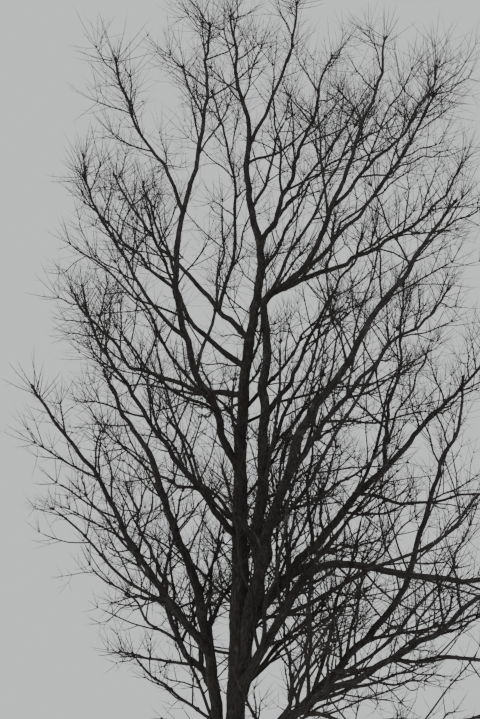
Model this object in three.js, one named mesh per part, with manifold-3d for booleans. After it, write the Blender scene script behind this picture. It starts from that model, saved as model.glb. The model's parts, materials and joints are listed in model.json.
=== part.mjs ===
// A bare deciduous tree in winter: a flared foot that splits low into upright stems, long
// ascending boughs, and open sprays of twigs with no leaves on them.
// Millimetres. +Z is up, +X is to the viewer's right, +Y is away from the viewer.
// The origin is the middle of the flat cut at ground level.
import * as THREE from "three";
import { mergeVertices } from "three/addons/utils/BufferGeometryUtils.js";
import Module from "manifold-3d";

const wasm = await Module();
wasm.setup();

// Driving dimensions.
const JOINT_GAP = 0.3; // between a limb and what it grows from
const KINK_SPACING = 430; // a limb changes heading about this often
const KINK_SHARE = 0.11; // how far it strays at each kink, as a share of that spacing
const COLLAR_SHARE = 0.22; // how much a limb swells where it leaves its parent
const COLLAR_LENGTH = 160;
const THICKEST_BOUGH = 0.84; // a bough is never thicker than this share of its parent
const TWIG_CLEARANCE = 6; // least gap from a twig to any limb or other stem
const SPACE_MARGIN = 14; // least gap from a twig to the edge of its spray's space

// The trunk: its middle and radius at each height, up to where the top spray begins.
const TRUNK = [
  { height: 0, x: 0, y: 0, radius: 188 },
  { height: 70, x: 0, y: 1, radius: 184 },
  { height: 160, x: 1, y: 2, radius: 179 },
  { height: 300, x: 2, y: 4, radius: 172 },
  { height: 520, x: 3, y: 6, radius: 165 },
  { height: 1200, x: 8, y: 10, radius: 152 },
  { height: 2000, x: 4, y: 6, radius: 134 },
  { height: 2700, x: 0, y: 0, radius: 110 },
  { height: 3600, x: 30, y: 0, radius: 103 },
  { height: 4500, x: 50, y: 0, radius: 98 },
  { height: 5400, x: 45, y: 0, radius: 86 },
  { height: 6100, x: 55, y: 0, radius: 77 },
  { height: 6800, x: 90, y: 0, radius: 71 },
  { height: 7500, x: 160, y: 0, radius: 66 },
  { height: 8200, x: 265, y: 0, radius: 60 },
  { height: 8800, x: 340, y: 0, radius: 56 },
  { height: 9250, x: 345, y: 0, radius: 52 },
  { height: 9900, x: 200, y: 0, radius: 45 },
  { height: 10600, x: 165, y: 0, radius: 40 },
  { height: 11250, x: 205, y: 0, radius: 35 },
  { height: 11900, x: 80, y: -60, radius: 29 },
];
const TRUNK_SIDES = 16;
const LEVEL_STATIONS = 5; // the foot's rings lie level, so that the ground cut is flat
const TRUNK_SPRAY = [-80, -160, 13750];
// Root flare: ridges that run out to the ground. turn and width in degrees.
const FLARE_FADE = 180;
const ROOTS = [
  { turn: 12, width: 26, share: 0.75 },
  { turn: 88, width: 22, share: 0.55 },
  { turn: 150, width: 28, share: 0.7 },
  { turn: 222, width: 24, share: 0.6 },
  { turn: 292, width: 27, share: 0.8 },
];

// Boughs. Each leaves its parent at a height, passes its bend and its tip, and goes on as the
// stem of a spray of twigs that ends at the place named spray. thick is the radius at the foot
// and at the tip. A bough with no spray forks on; one that "continues" starts at its parent's tip.
const BOUGHS = {
  left_stem: {
    from: "trunk", height: 1150, thick: [84, 44],
    bend: [-430, 260, 3900], tip: [-1080, 800, 5850], spray: [-2150, 1500, 8250],
  },
  left_outer: {
    from: "left_stem", height: 3450, thick: [46, 28],
    bend: [-1050, -480, 4330], tip: [-1450, -1000, 4950], spray: [-2500, -1950, 6400],
  },
  left_back: {
    from: "left_stem", height: 2900, thick: [42, 27],
    bend: [-850, 1000, 4050], tip: [-1150, 1700, 4950], spray: [-1800, 2950, 6800],
  },
  left_low: {
    from: "trunk", height: 4850, thick: [44, 27],
    bend: [-480, -650, 5330], tip: [-850, -1150, 5720], spray: [-1900, -2400, 7200],
  },
  left_cross: {
    from: "trunk", height: 6850, thick: [42, 26],
    bend: [-640, 260, 7080], tip: [-1150, 380, 7330], spray: [-2500, 620, 9000],
  },
  left_mid: {
    from: "trunk", height: 7250, thick: [38, 24],
    bend: [-560, -20, 7900], tip: [-880, 100, 8700], spray: [-1500, 450, 10900],
  },
  left_tall: {
    from: "trunk", height: 5750, thick: [50, 28],
    bend: [-790, -800, 7950], tip: [-520, -1480, 9800], spray: [-380, -1750, 12100],
  },
  left_tall_low: {
    from: "left_tall", height: 7400, thick: [27, 20],
    bend: [-1080, -930, 7750], tip: [-1330, -1060, 8080], spray: [-2100, -1650, 9500],
  },
  left_tall_side: {
    from: "left_tall", height: 9000, thick: [25, 19],
    bend: [-900, -1460, 9420], tip: [-1120, -1540, 9760], spray: [-1700, -1850, 11300],
  },
  left_upper: {
    from: "trunk", height: 7680, thick: [42, 26],
    bend: [-540, 650, 8880], tip: [-1080, 1060, 9700], spray: [-2250, 1750, 12000],
  },
  leader_left: {
    from: "left_upper", height: 8350, thick: [28, 21],
    bend: [-80, 520, 9200], tip: [-20, 560, 10200], spray: [-450, 620, 12900],
  },
  leader_fork: {
    from: "trunk", height: 11000, thick: [27, 21],
    bend: [560, -300, 11700], tip: [700, -500, 12050], spray: [950, -950, 13200],
  },
  right_upper: {
    from: "trunk", height: 9050, thick: [42, 26],
    bend: [780, 320, 10450], tip: [1030, 500, 11400], spray: [1650, 700, 13800],
  },
  right_fan: {
    from: "right_upper", height: 9700, thick: [27, 20],
    bend: [980, 860, 10750], tip: [1380, 1220, 11600], spray: [2150, 1750, 13450],
  },
  right_stem: {
    from: "trunk", height: 3150, thick: [84, 52],
    bend: [250, -260, 4300], tip: [400, -400, 7700],
  },
  right_tall: {
    from: "right_stem", continues: true, thick: [50, 30],
    bend: [1080, -480, 8900], tip: [1520, -660, 9900], spray: [2380, -950, 12600],
  },
  right_sun: {
    from: "right_tall", height: 8200, thick: [38, 26],
    bend: [1850, 330, 9230], tip: [2450, 520, 9720], spray: [3800, 850, 11600],
  },
  right_front: {
    from: "right_tall", height: 8550, thick: [30, 21],
    bend: [1450, -900, 8870], tip: [1900, -1200, 9330], spray: [2800, -1850, 10700],
  },
  right_sky: {
    from: "right_tall", height: 9500, thick: [27, 21],
    bend: [2000, -330, 10420], tip: [2350, -150, 10900], spray: [3350, 250, 13100],
  },
  right_heart: {
    from: "right_stem", height: 6350, thick: [34, 22],
    bend: [900, 120, 7450], tip: [1180, 330, 8150], spray: [2050, 800, 10150],
  },
  right_inner: {
    from: "right_stem", height: 3950, thick: [72, 38],
    bend: [620, -880, 5500], tip: [1600, -1450, 7080], spray: [2900, -2100, 9000],
  },
  right_inner_side: {
    from: "right_inner", height: 5400, thick: [38, 23],
    bend: [1450, -560, 6650], tip: [2050, -180, 7430], spray: [3300, 350, 8900],
  },
  right_mid: {
    from: "right_stem", height: 3700, thick: [66, 36],
    bend: [1420, 800, 5370], tip: [2650, 1380, 6800], spray: [4250, 1950, 8700],
  },
  right_mid_up: {
    from: "right_mid", height: 6150, thick: [32, 22],
    bend: [2300, 1500, 7000], tip: [2450, 1600, 7750], spray: [2750, 1850, 9900],
  },
  right_low: {
    from: "trunk", height: 2950, thick: [62, 34],
    bend: [980, -780, 4320], tip: [1950, -1450, 4080], spray: [3500, -2500, 3950],
  },
  base_right: {
    from: "trunk", height: 2150, thick: [56, 33],
    bend: [2030, 800, 4100], tip: [2620, 820, 5450], spray: [3500, 850, 7900],
  },
  base_front: {
    from: "trunk", height: 2250, thick: [50, 31],
    bend: [1100, -1300, 2900], tip: [1700, -1850, 3150], spray: [3000, -3050, 4300],
  },
  back_low: {
    from: "trunk", height: 2750, thick: [54, 32],
    bend: [300, 1200, 4250], tip: [480, 1950, 5350], spray: [850, 3200, 7700],
  },
  back_high: {
    from: "trunk", height: 6200, thick: [44, 28],
    bend: [150, 1150, 7800], tip: [280, 1700, 8700], spray: [550, 2700, 11000],
  },
};

// Sprays of twigs. A bough stays bare for this share of its length, or until its last fork, and
// the rest of it is the spray's stem. Side shoots leave the stem in a spiral, and
// smaller shoots leave those. Lengths are shares of what they leave, which is never shorter
// than the rule's least. The end of a stem or shoot stands for the fan of fine twigs there.
const BARE_SHARE = 0.55;
const PAST_FORK = 150; // a bough runs on at least this far past its last fork
const STEM = { tipRadius: 12, sides: 4, sway: 0.12, sag: 0.06 };
// A spray's ball of space: how far along its stem, and its radius.
const SPACE = { ahead: 0.54, least: 740, reach: 0.34 };
const SHOOTS = [
  {
    count: 8, first: 0.08, last: 0.9, angle: 48, length: 0.54, taper: 0.42,
    radius: [14, 6], lift: 0.5, steps: 2, least: 0,
  },
  {
    count: 3, first: 0.2, last: 0.6, angle: 44, length: 0.55, taper: 0.3,
    radius: [8, 4.5], lift: 0.3, steps: 1, least: 950,
  },
];
const SHORTER = [1, 0.88, 0.76, 0.64, 0.52]; // lengths tried for a shoot that doesn't fit
const SPIRAL = 137.5; // degrees from one shoot to the next round its stem
const CHILD_SHARE = 0.6; // a shoot is never thicker than this share of what it leaves

const BARK = { color: 0x3b3631, roughness: 0.92, metalness: 0 };
const TWIG_BARK = { color: 0x463f3a, roughness: 0.88, metalness: 0 };

const UP = new THREE.Vector3(0, 0, 1);
const ACROSS = new THREE.Vector3(1, 0, 0);
const BACK = new THREE.Vector3(0, 1, 0);
const degrees = THREE.MathUtils.degToRad;
const { lerp } = THREE.MathUtils;
const place = ([x, y, z]) => new THREE.Vector3(x, y, z);

// Seeded numbers from 0 to 1: the same key always gives the same run.
const PRIME = 2147483647;
const seeded = (key) => {
  let state = (key * 48271 + 12345) % PRIME;
  const next = () => {
    state = (state * 16807) % PRIME;
    return state / PRIME;
  };
  next();
  next();
  return next;
};
const childKey = (key, index) => (key * 613 + index * 7919 + 101) % PRIME;
const keyOf = (name) => [...name].reduce((sum, c) => (sum * 31 + c.charCodeAt(0)) % PRIME, 7);

// A path is its stations, with the distance along it to each. Where a limb is parted in two,
// behind and onward are the stations just past each part's end, so that both faces lie parallel.
function pathOf(points) {
  const along = [0];
  for (let i = 1; i < points.length; i++) along.push(along[i - 1] + points[i].distanceTo(points[i - 1]));
  return { points, along, length: along.at(-1) };
}

function onPath(path, distance) {
  const last = path.points.length - 1;
  let i = 1;
  while (i < last && path.along[i] < distance) i++;
  const share = (distance - path.along[i - 1]) / (path.along[i] - path.along[i - 1]);
  const heading = path.points[i].clone().sub(path.points[i - 1]).normalize();
  return { point: path.points[i - 1].clone().lerp(path.points[i], share), heading };
}

function distanceAtHeight(path, height) {
  const i = path.points.findIndex((p) => p.z >= height);
  const [low, high] = [path.points[i - 1], path.points[i]];
  const share = (height - low.z) / (high.z - low.z);
  return lerp(path.along[i - 1], path.along[i], share);
}

function radiusAlong({ path, radii }, distance) {
  let i = 1;
  while (i < path.points.length - 1 && path.along[i] < distance) i++;
  const share = (distance - path.along[i - 1]) / (path.along[i] - path.along[i - 1]);
  return lerp(radii[i - 1], radii[i], share);
}

// Two directions square to a heading and to each other.
function squareTo(heading) {
  const other = Math.abs(heading.z) > 0.9 ? ACROSS : UP;
  const side = new THREE.Vector3().crossVectors(other, heading).normalize();
  return [side, new THREE.Vector3().crossVectors(heading, side)];
}

// A kinked limb from a foot through a bend to a tip. Its first leg keeps the heading given, if any.
function kinkedPath(foot, bend, tip, random, firstHeading) {
  const curve = new THREE.CatmullRomCurve3([foot, bend, tip]);
  const steps = Math.max(4, Math.round(curve.getLength() / KINK_SPACING));
  const points = curve.getSpacedPoints(steps);
  const stray = () => (random() - 0.5) * 2 * KINK_SHARE * KINK_SPACING;
  for (let i = 1; i < steps; i++) points[i].add(new THREE.Vector3(stray(), stray(), stray() * 0.5));
  if (firstHeading) {
    const reach = points[1].distanceTo(foot);
    points[1].copy(foot).addScaledVector(firstHeading, reach);
  }
  return pathOf(points);
}

// A closed solid from a geometry: only the places of its vertices count.
function solidOf(geometry) {
  geometry.deleteAttribute("normal");
  geometry.deleteAttribute("uv");
  const merged = mergeVertices(geometry, 1e-4);
  return new wasm.Manifold(
    new wasm.Mesh({
      numProp: 3,
      vertProperties: new Float32Array(merged.attributes.position.array),
      triVerts: new Uint32Array(merged.index.array),
    }),
  );
}

// The directions across each station of a path. The first few rings may lie level.
function ringFrames(path, levelStations) {
  let side = levelStations ? ACROSS : squareTo(onPath(path, 0).heading)[0];
  return path.points.map((point, i) => {
    if (i < levelStations) return [ACROSS, BACK];
    const before = path.points[i - 1] ?? path.behind ?? point;
    const after = path.points[i + 1] ?? path.onward ?? point;
    const heading = after.clone().sub(before).normalize();
    side = side.clone().addScaledVector(heading, -side.dot(heading)).normalize();
    return [side, new THREE.Vector3().crossVectors(heading, side)];
  });
}

// A round bar along a path. radiusAt(station, turn) gives the radius at each corner.
function bentBar(path, sides, radiusAt, { pointed = false, levelStations = 0 } = {}) {
  const steps = path.points.length - 1;
  const bar = new THREE.CylinderGeometry(pointed ? 0 : 1, 1, steps, sides, steps);
  const frames = ringFrames(path, levelStations);
  const corners = bar.attributes.position;
  for (let v = 0; v < corners.count; v++) {
    const station = Math.round(corners.getY(v) + steps / 2);
    const [u, w] = [corners.getX(v), corners.getZ(v)];
    const at = path.points[station].clone();
    if (Math.hypot(u, w) > 1e-6) {
      const [across, over] = frames[station];
      const turn = Math.atan2(-w, u);
      const reach = radiusAt(station, turn);
      at.addScaledVector(across, reach * Math.cos(turn)).addScaledVector(over, reach * Math.sin(turn));
    }
    corners.setXYZ(v, at.x, at.y, at.z);
  }
  return solidOf(bar);
}

// The largest separate piece of a solid.
const largest = (solid) => solid.decompose().reduce((a, b) => (a.volume() > b.volume() ? a : b));

// Trunk

function trunkLimb() {
  const points = TRUNK.map(({ x, y, height }) => new THREE.Vector3(x, y, height));
  const trunk = { name: "trunk", path: pathOf(points), radii: TRUNK.map((s) => s.radius) };
  return endedAtSpray(trunk, place(TRUNK_SPRAY));
}

function rootSwell(height, turn) {
  const ridges = ROOTS.map((root) => {
    const away = Math.cos(turn - degrees(root.turn));
    return root.share * Math.exp((away - 1) / (1 - Math.cos(degrees(root.width))));
  });
  return Math.exp(-height / FLARE_FADE) * (0.12 + ridges.reduce((a, b) => a + b, 0));
}

const trunkSolid = (limb, grow) =>
  bentBar(
    limb.path,
    TRUNK_SIDES,
    (station, turn) => limb.radii[station] * (1 + rootSwell(TRUNK[station].height, turn)) + grow,
    { levelStations: LEVEL_STATIONS },
  );

// Boughs

function boughLimb(name, spec, parent) {
  const random = seeded(keyOf(name));
  const start = spec.continues ? parent.path.length : distanceAtHeight(parent.path, spec.height);
  const { point: foot, heading } = onPath(parent.path, start);
  if (spec.continues) foot.addScaledVector(heading, JOINT_GAP);
  const onward = spec.continues ? heading : undefined;
  const path = kinkedPath(foot, place(spec.bend), place(spec.tip), random, onward);
  const [thickest, thinnest] = spec.thick;
  const most = spec.continues ? Infinity : THICKEST_BOUGH * radiusAlong(parent, start);
  const radii = path.along.map((distance) => {
    const collar = spec.continues ? 0 : COLLAR_SHARE * Math.exp(-distance / COLLAR_LENGTH);
    return Math.min(most, lerp(thickest, thinnest, distance / path.length) * (1 + collar));
  });
  const whole = { name, path, radii, parent: parent.name, continues: spec.continues };
  return spec.spray ? endedAtSpray(whole, place(spec.spray)) : whole;
}

// The bough up to where its spray begins; what is beyond is kept as the start of the stem.
function endedAtSpray(limb, spray) {
  const { points, along, length } = limb.path;
  const forks = Object.values(BOUGHS).filter((other) => other.from === limb.name);
  const lastFork = Math.max(0, ...forks.map((other) => distanceAtHeight(limb.path, other.height)));
  const bare = Math.min(length, Math.max(BARE_SHARE * length, lastFork + PAST_FORK));
  const split = along.findIndex((distance) => distance >= bare);
  const start = { points: points.slice(split), radii: limb.radii.slice(split) };
  const path = { ...pathOf(points.slice(0, split + 1)), onward: points[split + 1] };
  return { ...limb, path, radii: limb.radii.slice(0, split + 1), start, spray };
}

function limbSolid(limb, grow = 0) {
  if (limb.name === "trunk") return trunkSolid(limb, grow);
  const sides = limb.radii[0] > 60 ? 7 : 5;
  return bentBar(limb.path, sides, (station) => limb.radii[station] + grow);
}

function growLimbs() {
  const limbs = new Map([["trunk", trunkLimb()]]);
  for (const [name, spec] of Object.entries(BOUGHS)) {
    limbs.set(name, boughLimb(name, spec, limbs.get(spec.from)));
  }
  return limbs;
}

// Twigs

// A spray's stem is the rest of its limb, which then keeps its heading and bends to its own tip.
function stemOf(limb) {
  const key = keyOf(`twigs_${limb.name}`);
  const { points, radii } = limb.start;
  const behind = limb.path.points.at(-2);
  const heading = (points[1] ?? points[0]).clone().sub(behind).normalize();
  const foot = points[0].clone().addScaledVector(heading, JOINT_GAP);
  const tip = points.length > 1 ? points.at(-1) : foot;
  const onward = tip.clone().sub(points.at(-2) ?? behind).normalize();
  const outer = tip.distanceTo(limb.spray);
  const bend = tip.clone().lerp(limb.spray, 0.5).addScaledVector(onward, STEM.sway * outer);
  bend.addScaledVector(UP, -STEM.sag * outer);
  const end = kinkedPath(tip, bend, limb.spray, seeded(key), onward).points.slice(1);
  const endRadii = end.map((_, i) => lerp(radii.at(-1), STEM.tipRadius, (i + 1) / end.length));
  const path = { ...pathOf([foot, ...points.slice(1), ...end]), behind };
  const middle = foot.clone().lerp(limb.spray, SPACE.ahead);
  const space = { middle, radius: SPACE.least + SPACE.reach * foot.distanceTo(limb.spray) };
  return { limb, key, path, radii: [...radii, ...endRadii], space };
}

// How far a point is inside its own space: the nearer of its ball's edge and the flat
// boundary between its ball and each neighbouring one.
function roomInSpace(point, own, spaces) {
  const power = (space) => point.distanceToSquared(space.middle) - space.radius ** 2;
  let room = own.radius - point.distanceTo(own.middle);
  for (const other of spaces) {
    if (other === own) continue;
    room = Math.min(room, (power(other) - power(own)) / (2 * own.middle.distanceTo(other.middle)));
  }
  return room;
}

// The least distance between two straight legs.
function legGap(a, b, c, d) {
  const u = b.clone().sub(a);
  const v = d.clone().sub(c);
  const w = a.clone().sub(c);
  const [uu, uv, vv, uw, vw] = [u.dot(u), u.dot(v), v.dot(v), u.dot(w), v.dot(w)];
  const spread = uu * vv - uv * uv;
  const clamp = (value) => Math.min(1, Math.max(0, value));
  let s = spread > 1e-9 * uu * vv ? clamp((uv * vw - vv * uw) / spread) : 0;
  const t = clamp((uv * s + vw) / vv);
  s = clamp((uv * t - uw) / uu);
  return w.addScaledVector(u, s).addScaledVector(v, -t).length();
}

function clearOf(path, radius, obstacles) {
  for (const { path: other, radii } of obstacles) {
    for (let j = 1; j < other.points.length; j++) {
      const reach = Math.max(radii[j - 1], radii[j]) + radius + TWIG_CLEARANCE;
      for (let i = 1; i < path.points.length; i++) {
        const gap = legGap(path.points[i - 1], path.points[i], other.points[j - 1], other.points[j]);
        if (gap < reach) return false;
      }
    }
  }
  return true;
}

function shootPath(foot, heading, length, lift, steps) {
  const points = [foot.clone()];
  const way = heading.clone();
  for (let i = 0; i < steps; i++) {
    way.addScaledVector(UP, lift / steps).normalize();
    points.push(points[i].clone().addScaledVector(way, length / steps));
  }
  return pathOf(points);
}

// Whether a shoot stays in its space and off every limb. The space has no hollows, so a leg
// lies inside it when its ends do.
function fits(path, radius, spray) {
  const inside = path.points.slice(1).every((p) => roomInSpace(p, spray.space, spray.spaces) > SPACE_MARGIN);
  return inside && clearOf(path, radius, spray.obstacles);
}

function sideShoots(parent, level, key, spray) {
  const rule = SHOOTS[level];
  if (!rule || parent.path.length < rule.least) return [];
  const grown = [];
  const twist = 360 * seeded(key)();
  for (let k = 0; k < rule.count; k++) {
    const random = seeded(childKey(key, k));
    const share = rule.first + ((rule.last - rule.first) * (k + 0.5 * random())) / (rule.count - 0.5);
    const { point, heading } = onPath(parent.path, share * parent.path.length);
    const [side, over] = squareTo(heading);
    const turn = degrees(k * SPIRAL + twist + 50 * (random() - 0.5));
    const out = side.multiplyScalar(Math.cos(turn)).addScaledVector(over, Math.sin(turn));
    const angle = degrees(rule.angle + 16 * (random() - 0.5));
    const way = heading.multiplyScalar(Math.cos(angle)).addScaledVector(out, Math.sin(angle));
    const full = parent.path.length * rule.length * (1 - rule.taper * share) * (0.8 + 0.4 * random());
    const thick = Math.min(rule.radius[0], CHILD_SHARE * radiusAlong(parent, share * parent.path.length));
    for (const shorter of SHORTER) {
      const path = shootPath(point, way, full * shorter, rule.lift, rule.steps);
      if (!fits(path, thick, spray)) continue;
      const radii = path.points.map((_, i) => lerp(thick, rule.radius[1], i / rule.steps));
      const shoot = { path, radii };
      grown.push(shoot, ...sideShoots(shoot, level + 1, childKey(key, k + 50), spray));
      break;
    }
  }
  return grown;
}

const twigSolid = ({ path, radii }, sides) =>
  bentBar(path, sides, (station) => radii[station], { pointed: true });

function spraySolid(stem, stems, limbs) {
  const others = stems.filter((other) => other !== stem);
  const spaces = stems.map((each) => each.space);
  const spray = { space: stem.space, spaces, obstacles: [...limbs.values(), ...others] };
  const shoots = sideShoots(stem, 0, stem.key, spray);
  const twigs = [twigSolid(stem, STEM.sides), ...shoots.map((shoot) => twigSolid(shoot, 3))];
  return largest(wasm.Manifold.union(twigs));
}

// Assembly

function meshOf(name, solid, look) {
  const made = solid.getMesh();
  const geometry = new THREE.BufferGeometry();
  geometry.setAttribute("position", new THREE.BufferAttribute(new Float32Array(made.vertProperties), 3));
  geometry.setIndex(new THREE.BufferAttribute(new Uint32Array(made.triVerts), 1));
  geometry.computeVertexNormals();
  const mesh = new THREE.Mesh(geometry, new THREE.MeshStandardMaterial({ ...look, flatShading: true }));
  mesh.name = name;
  return mesh;
}

const tree = new THREE.Group();
const woodwork = new THREE.Group();
const sprays = new THREE.Group();
tree.add(woodwork, sprays);

// Each bough is cut off where it comes out of the limbs before it.
const limbs = growLimbs();
const before = [];
for (const limb of limbs.values()) {
  const inTheWay = before.filter((other) => !(limb.continues && other.name === limb.parent));
  const cut = inTheWay.reduce((rest, other) => rest.subtract(limbSolid(other, JOINT_GAP)), limbSolid(limb));
  woodwork.add(meshOf(limb.parent ? `bough_${limb.name}` : limb.name, largest(cut), BARK));
  before.push(limb);
}

const stems = [...limbs.values()].filter((limb) => limb.spray).map(stemOf);
for (const stem of stems) {
  sprays.add(meshOf(`twigs_${stem.limb.name}`, spraySolid(stem, stems, limbs), TWIG_BARK));
}

export default tree;
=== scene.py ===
"""A bare deciduous tree in winter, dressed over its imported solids.

The limbs are modelled bars with bark in relief, fused where they meet. Branches, fans of fine
twigs and their buds grow on from the limbs by the rule that the solids follow, carried further.
A few dead leaves still hang on them.
Metres. +Z is up, +X is to the viewer's right, +Y is away from the viewer.
"""
import functools
import json
import math
from typing import NamedTuple

import bmesh
import bpy
import numpy as np
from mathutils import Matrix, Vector

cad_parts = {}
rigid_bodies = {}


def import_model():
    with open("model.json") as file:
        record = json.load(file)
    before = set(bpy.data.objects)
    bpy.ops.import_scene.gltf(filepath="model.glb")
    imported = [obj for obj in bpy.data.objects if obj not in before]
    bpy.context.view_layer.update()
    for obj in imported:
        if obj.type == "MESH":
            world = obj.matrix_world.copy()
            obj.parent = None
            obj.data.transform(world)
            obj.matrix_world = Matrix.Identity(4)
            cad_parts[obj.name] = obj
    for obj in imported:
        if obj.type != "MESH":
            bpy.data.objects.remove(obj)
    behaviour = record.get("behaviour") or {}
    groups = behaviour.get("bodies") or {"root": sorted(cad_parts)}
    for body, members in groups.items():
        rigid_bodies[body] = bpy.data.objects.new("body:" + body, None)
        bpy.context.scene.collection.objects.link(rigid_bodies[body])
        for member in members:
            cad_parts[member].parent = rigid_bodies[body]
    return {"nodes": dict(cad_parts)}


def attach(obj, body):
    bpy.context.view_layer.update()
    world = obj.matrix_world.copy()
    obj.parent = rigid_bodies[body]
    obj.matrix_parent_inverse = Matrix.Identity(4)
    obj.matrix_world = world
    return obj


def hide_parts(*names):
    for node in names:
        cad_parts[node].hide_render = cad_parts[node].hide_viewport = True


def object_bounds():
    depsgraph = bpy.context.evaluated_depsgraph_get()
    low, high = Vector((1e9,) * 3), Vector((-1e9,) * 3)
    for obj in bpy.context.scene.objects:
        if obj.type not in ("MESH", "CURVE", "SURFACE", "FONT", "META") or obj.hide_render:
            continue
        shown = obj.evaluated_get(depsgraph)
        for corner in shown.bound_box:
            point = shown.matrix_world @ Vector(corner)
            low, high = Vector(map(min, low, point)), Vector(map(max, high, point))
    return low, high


bl_info = {
    "name": "Bare Winter Tree",
    "version": (1, 0, 0),
    "blender": (4, 5, 0),
    "location": "3D View > Sidebar > Winter Tree",
    "description": "Dresses the solids of a bare deciduous tree with bark, branches, twigs and buds",
    "category": "Add Mesh",
}

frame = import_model()
CAD_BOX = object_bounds()
CAD_HEIGHT = CAD_BOX[1].z

# The rule of the solids

KINK_SPACING = 0.43
KINK_SHARE = 0.11
KINK_RISE = 0.5  # a kink's stray up and down, as a share of its stray sideways
LEAST_KINKS = 4
COLLAR_SHARE = 0.22
COLLAR_LENGTH = 0.16
THICKEST_BOUGH = 0.84
TWIG_CLEARANCE = 0.006
SPACE_MARGIN = 0.014
BARE_SHARE = 0.55
PAST_FORK = 0.15
SPIRAL = 137.5
CHILD_SHARE = 0.6
SHORTER = (1.0, 0.88, 0.76, 0.64, 0.52)
PRIME = 2147483647
NEARLY_UPRIGHT = 0.9
STEM_TIP_RADIUS = 0.012
STEM_SWAY = 0.12
STEM_SAG = 0.06
SPACE_AHEAD = 0.54
SPACE_LEAST = 0.74
SPACE_REACH = 0.34
UP = np.array((0.0, 0.0, 1.0))
ACROSS = np.array((1.0, 0.0, 0.0))


class Station(NamedTuple):
    """One place on the trunk."""

    height: float
    x: float
    y: float
    radius: float


TRUNK = (
    Station(0, 0, 0, 0.188),
    Station(0.07, 0, 0.001, 0.184),
    Station(0.16, 0.001, 0.002, 0.179),
    Station(0.3, 0.002, 0.004, 0.172),
    Station(0.52, 0.003, 0.006, 0.165),
    Station(1.2, 0.008, 0.01, 0.152),
    Station(2.0, 0.004, 0.006, 0.134),
    Station(2.7, 0, 0, 0.11),
    Station(3.6, 0.03, 0, 0.103),
    Station(4.5, 0.05, 0, 0.098),
    Station(5.4, 0.045, 0, 0.086),
    Station(6.1, 0.055, 0, 0.077),
    Station(6.8, 0.09, 0, 0.071),
    Station(7.5, 0.16, 0, 0.066),
    Station(8.2, 0.265, 0, 0.06),
    Station(8.8, 0.34, 0, 0.056),
    Station(9.25, 0.345, 0, 0.052),
    Station(9.9, 0.2, 0, 0.045),
    Station(10.6, 0.165, 0, 0.04),
    Station(11.25, 0.205, 0, 0.035),
    Station(11.9, 0.08, -0.06, 0.029),
)
TRUNK_SPRAY = (-0.08, -0.16, 13.75)
LEVEL_HEIGHT = 0.52
FLARE_FADE = 0.18
FLARE_ALL_ROUND = 0.12


class Root(NamedTuple):
    """A ridge of the root flare. turn and width in degrees."""

    turn: float
    width: float
    share: float


ROOTS = (
    Root(12, 26, 0.75),
    Root(88, 22, 0.55),
    Root(150, 28, 0.7),
    Root(222, 24, 0.6),
    Root(292, 27, 0.8),
)


class Bough(NamedTuple):
    """A bough: where it leaves its parent, its two radii, and what it passes.

    One with no height goes on from its parent's tip, and one with no spray only forks on."""

    parent: str
    height: float
    thick: tuple
    bend: tuple
    tip: tuple
    spray: tuple = None


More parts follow.
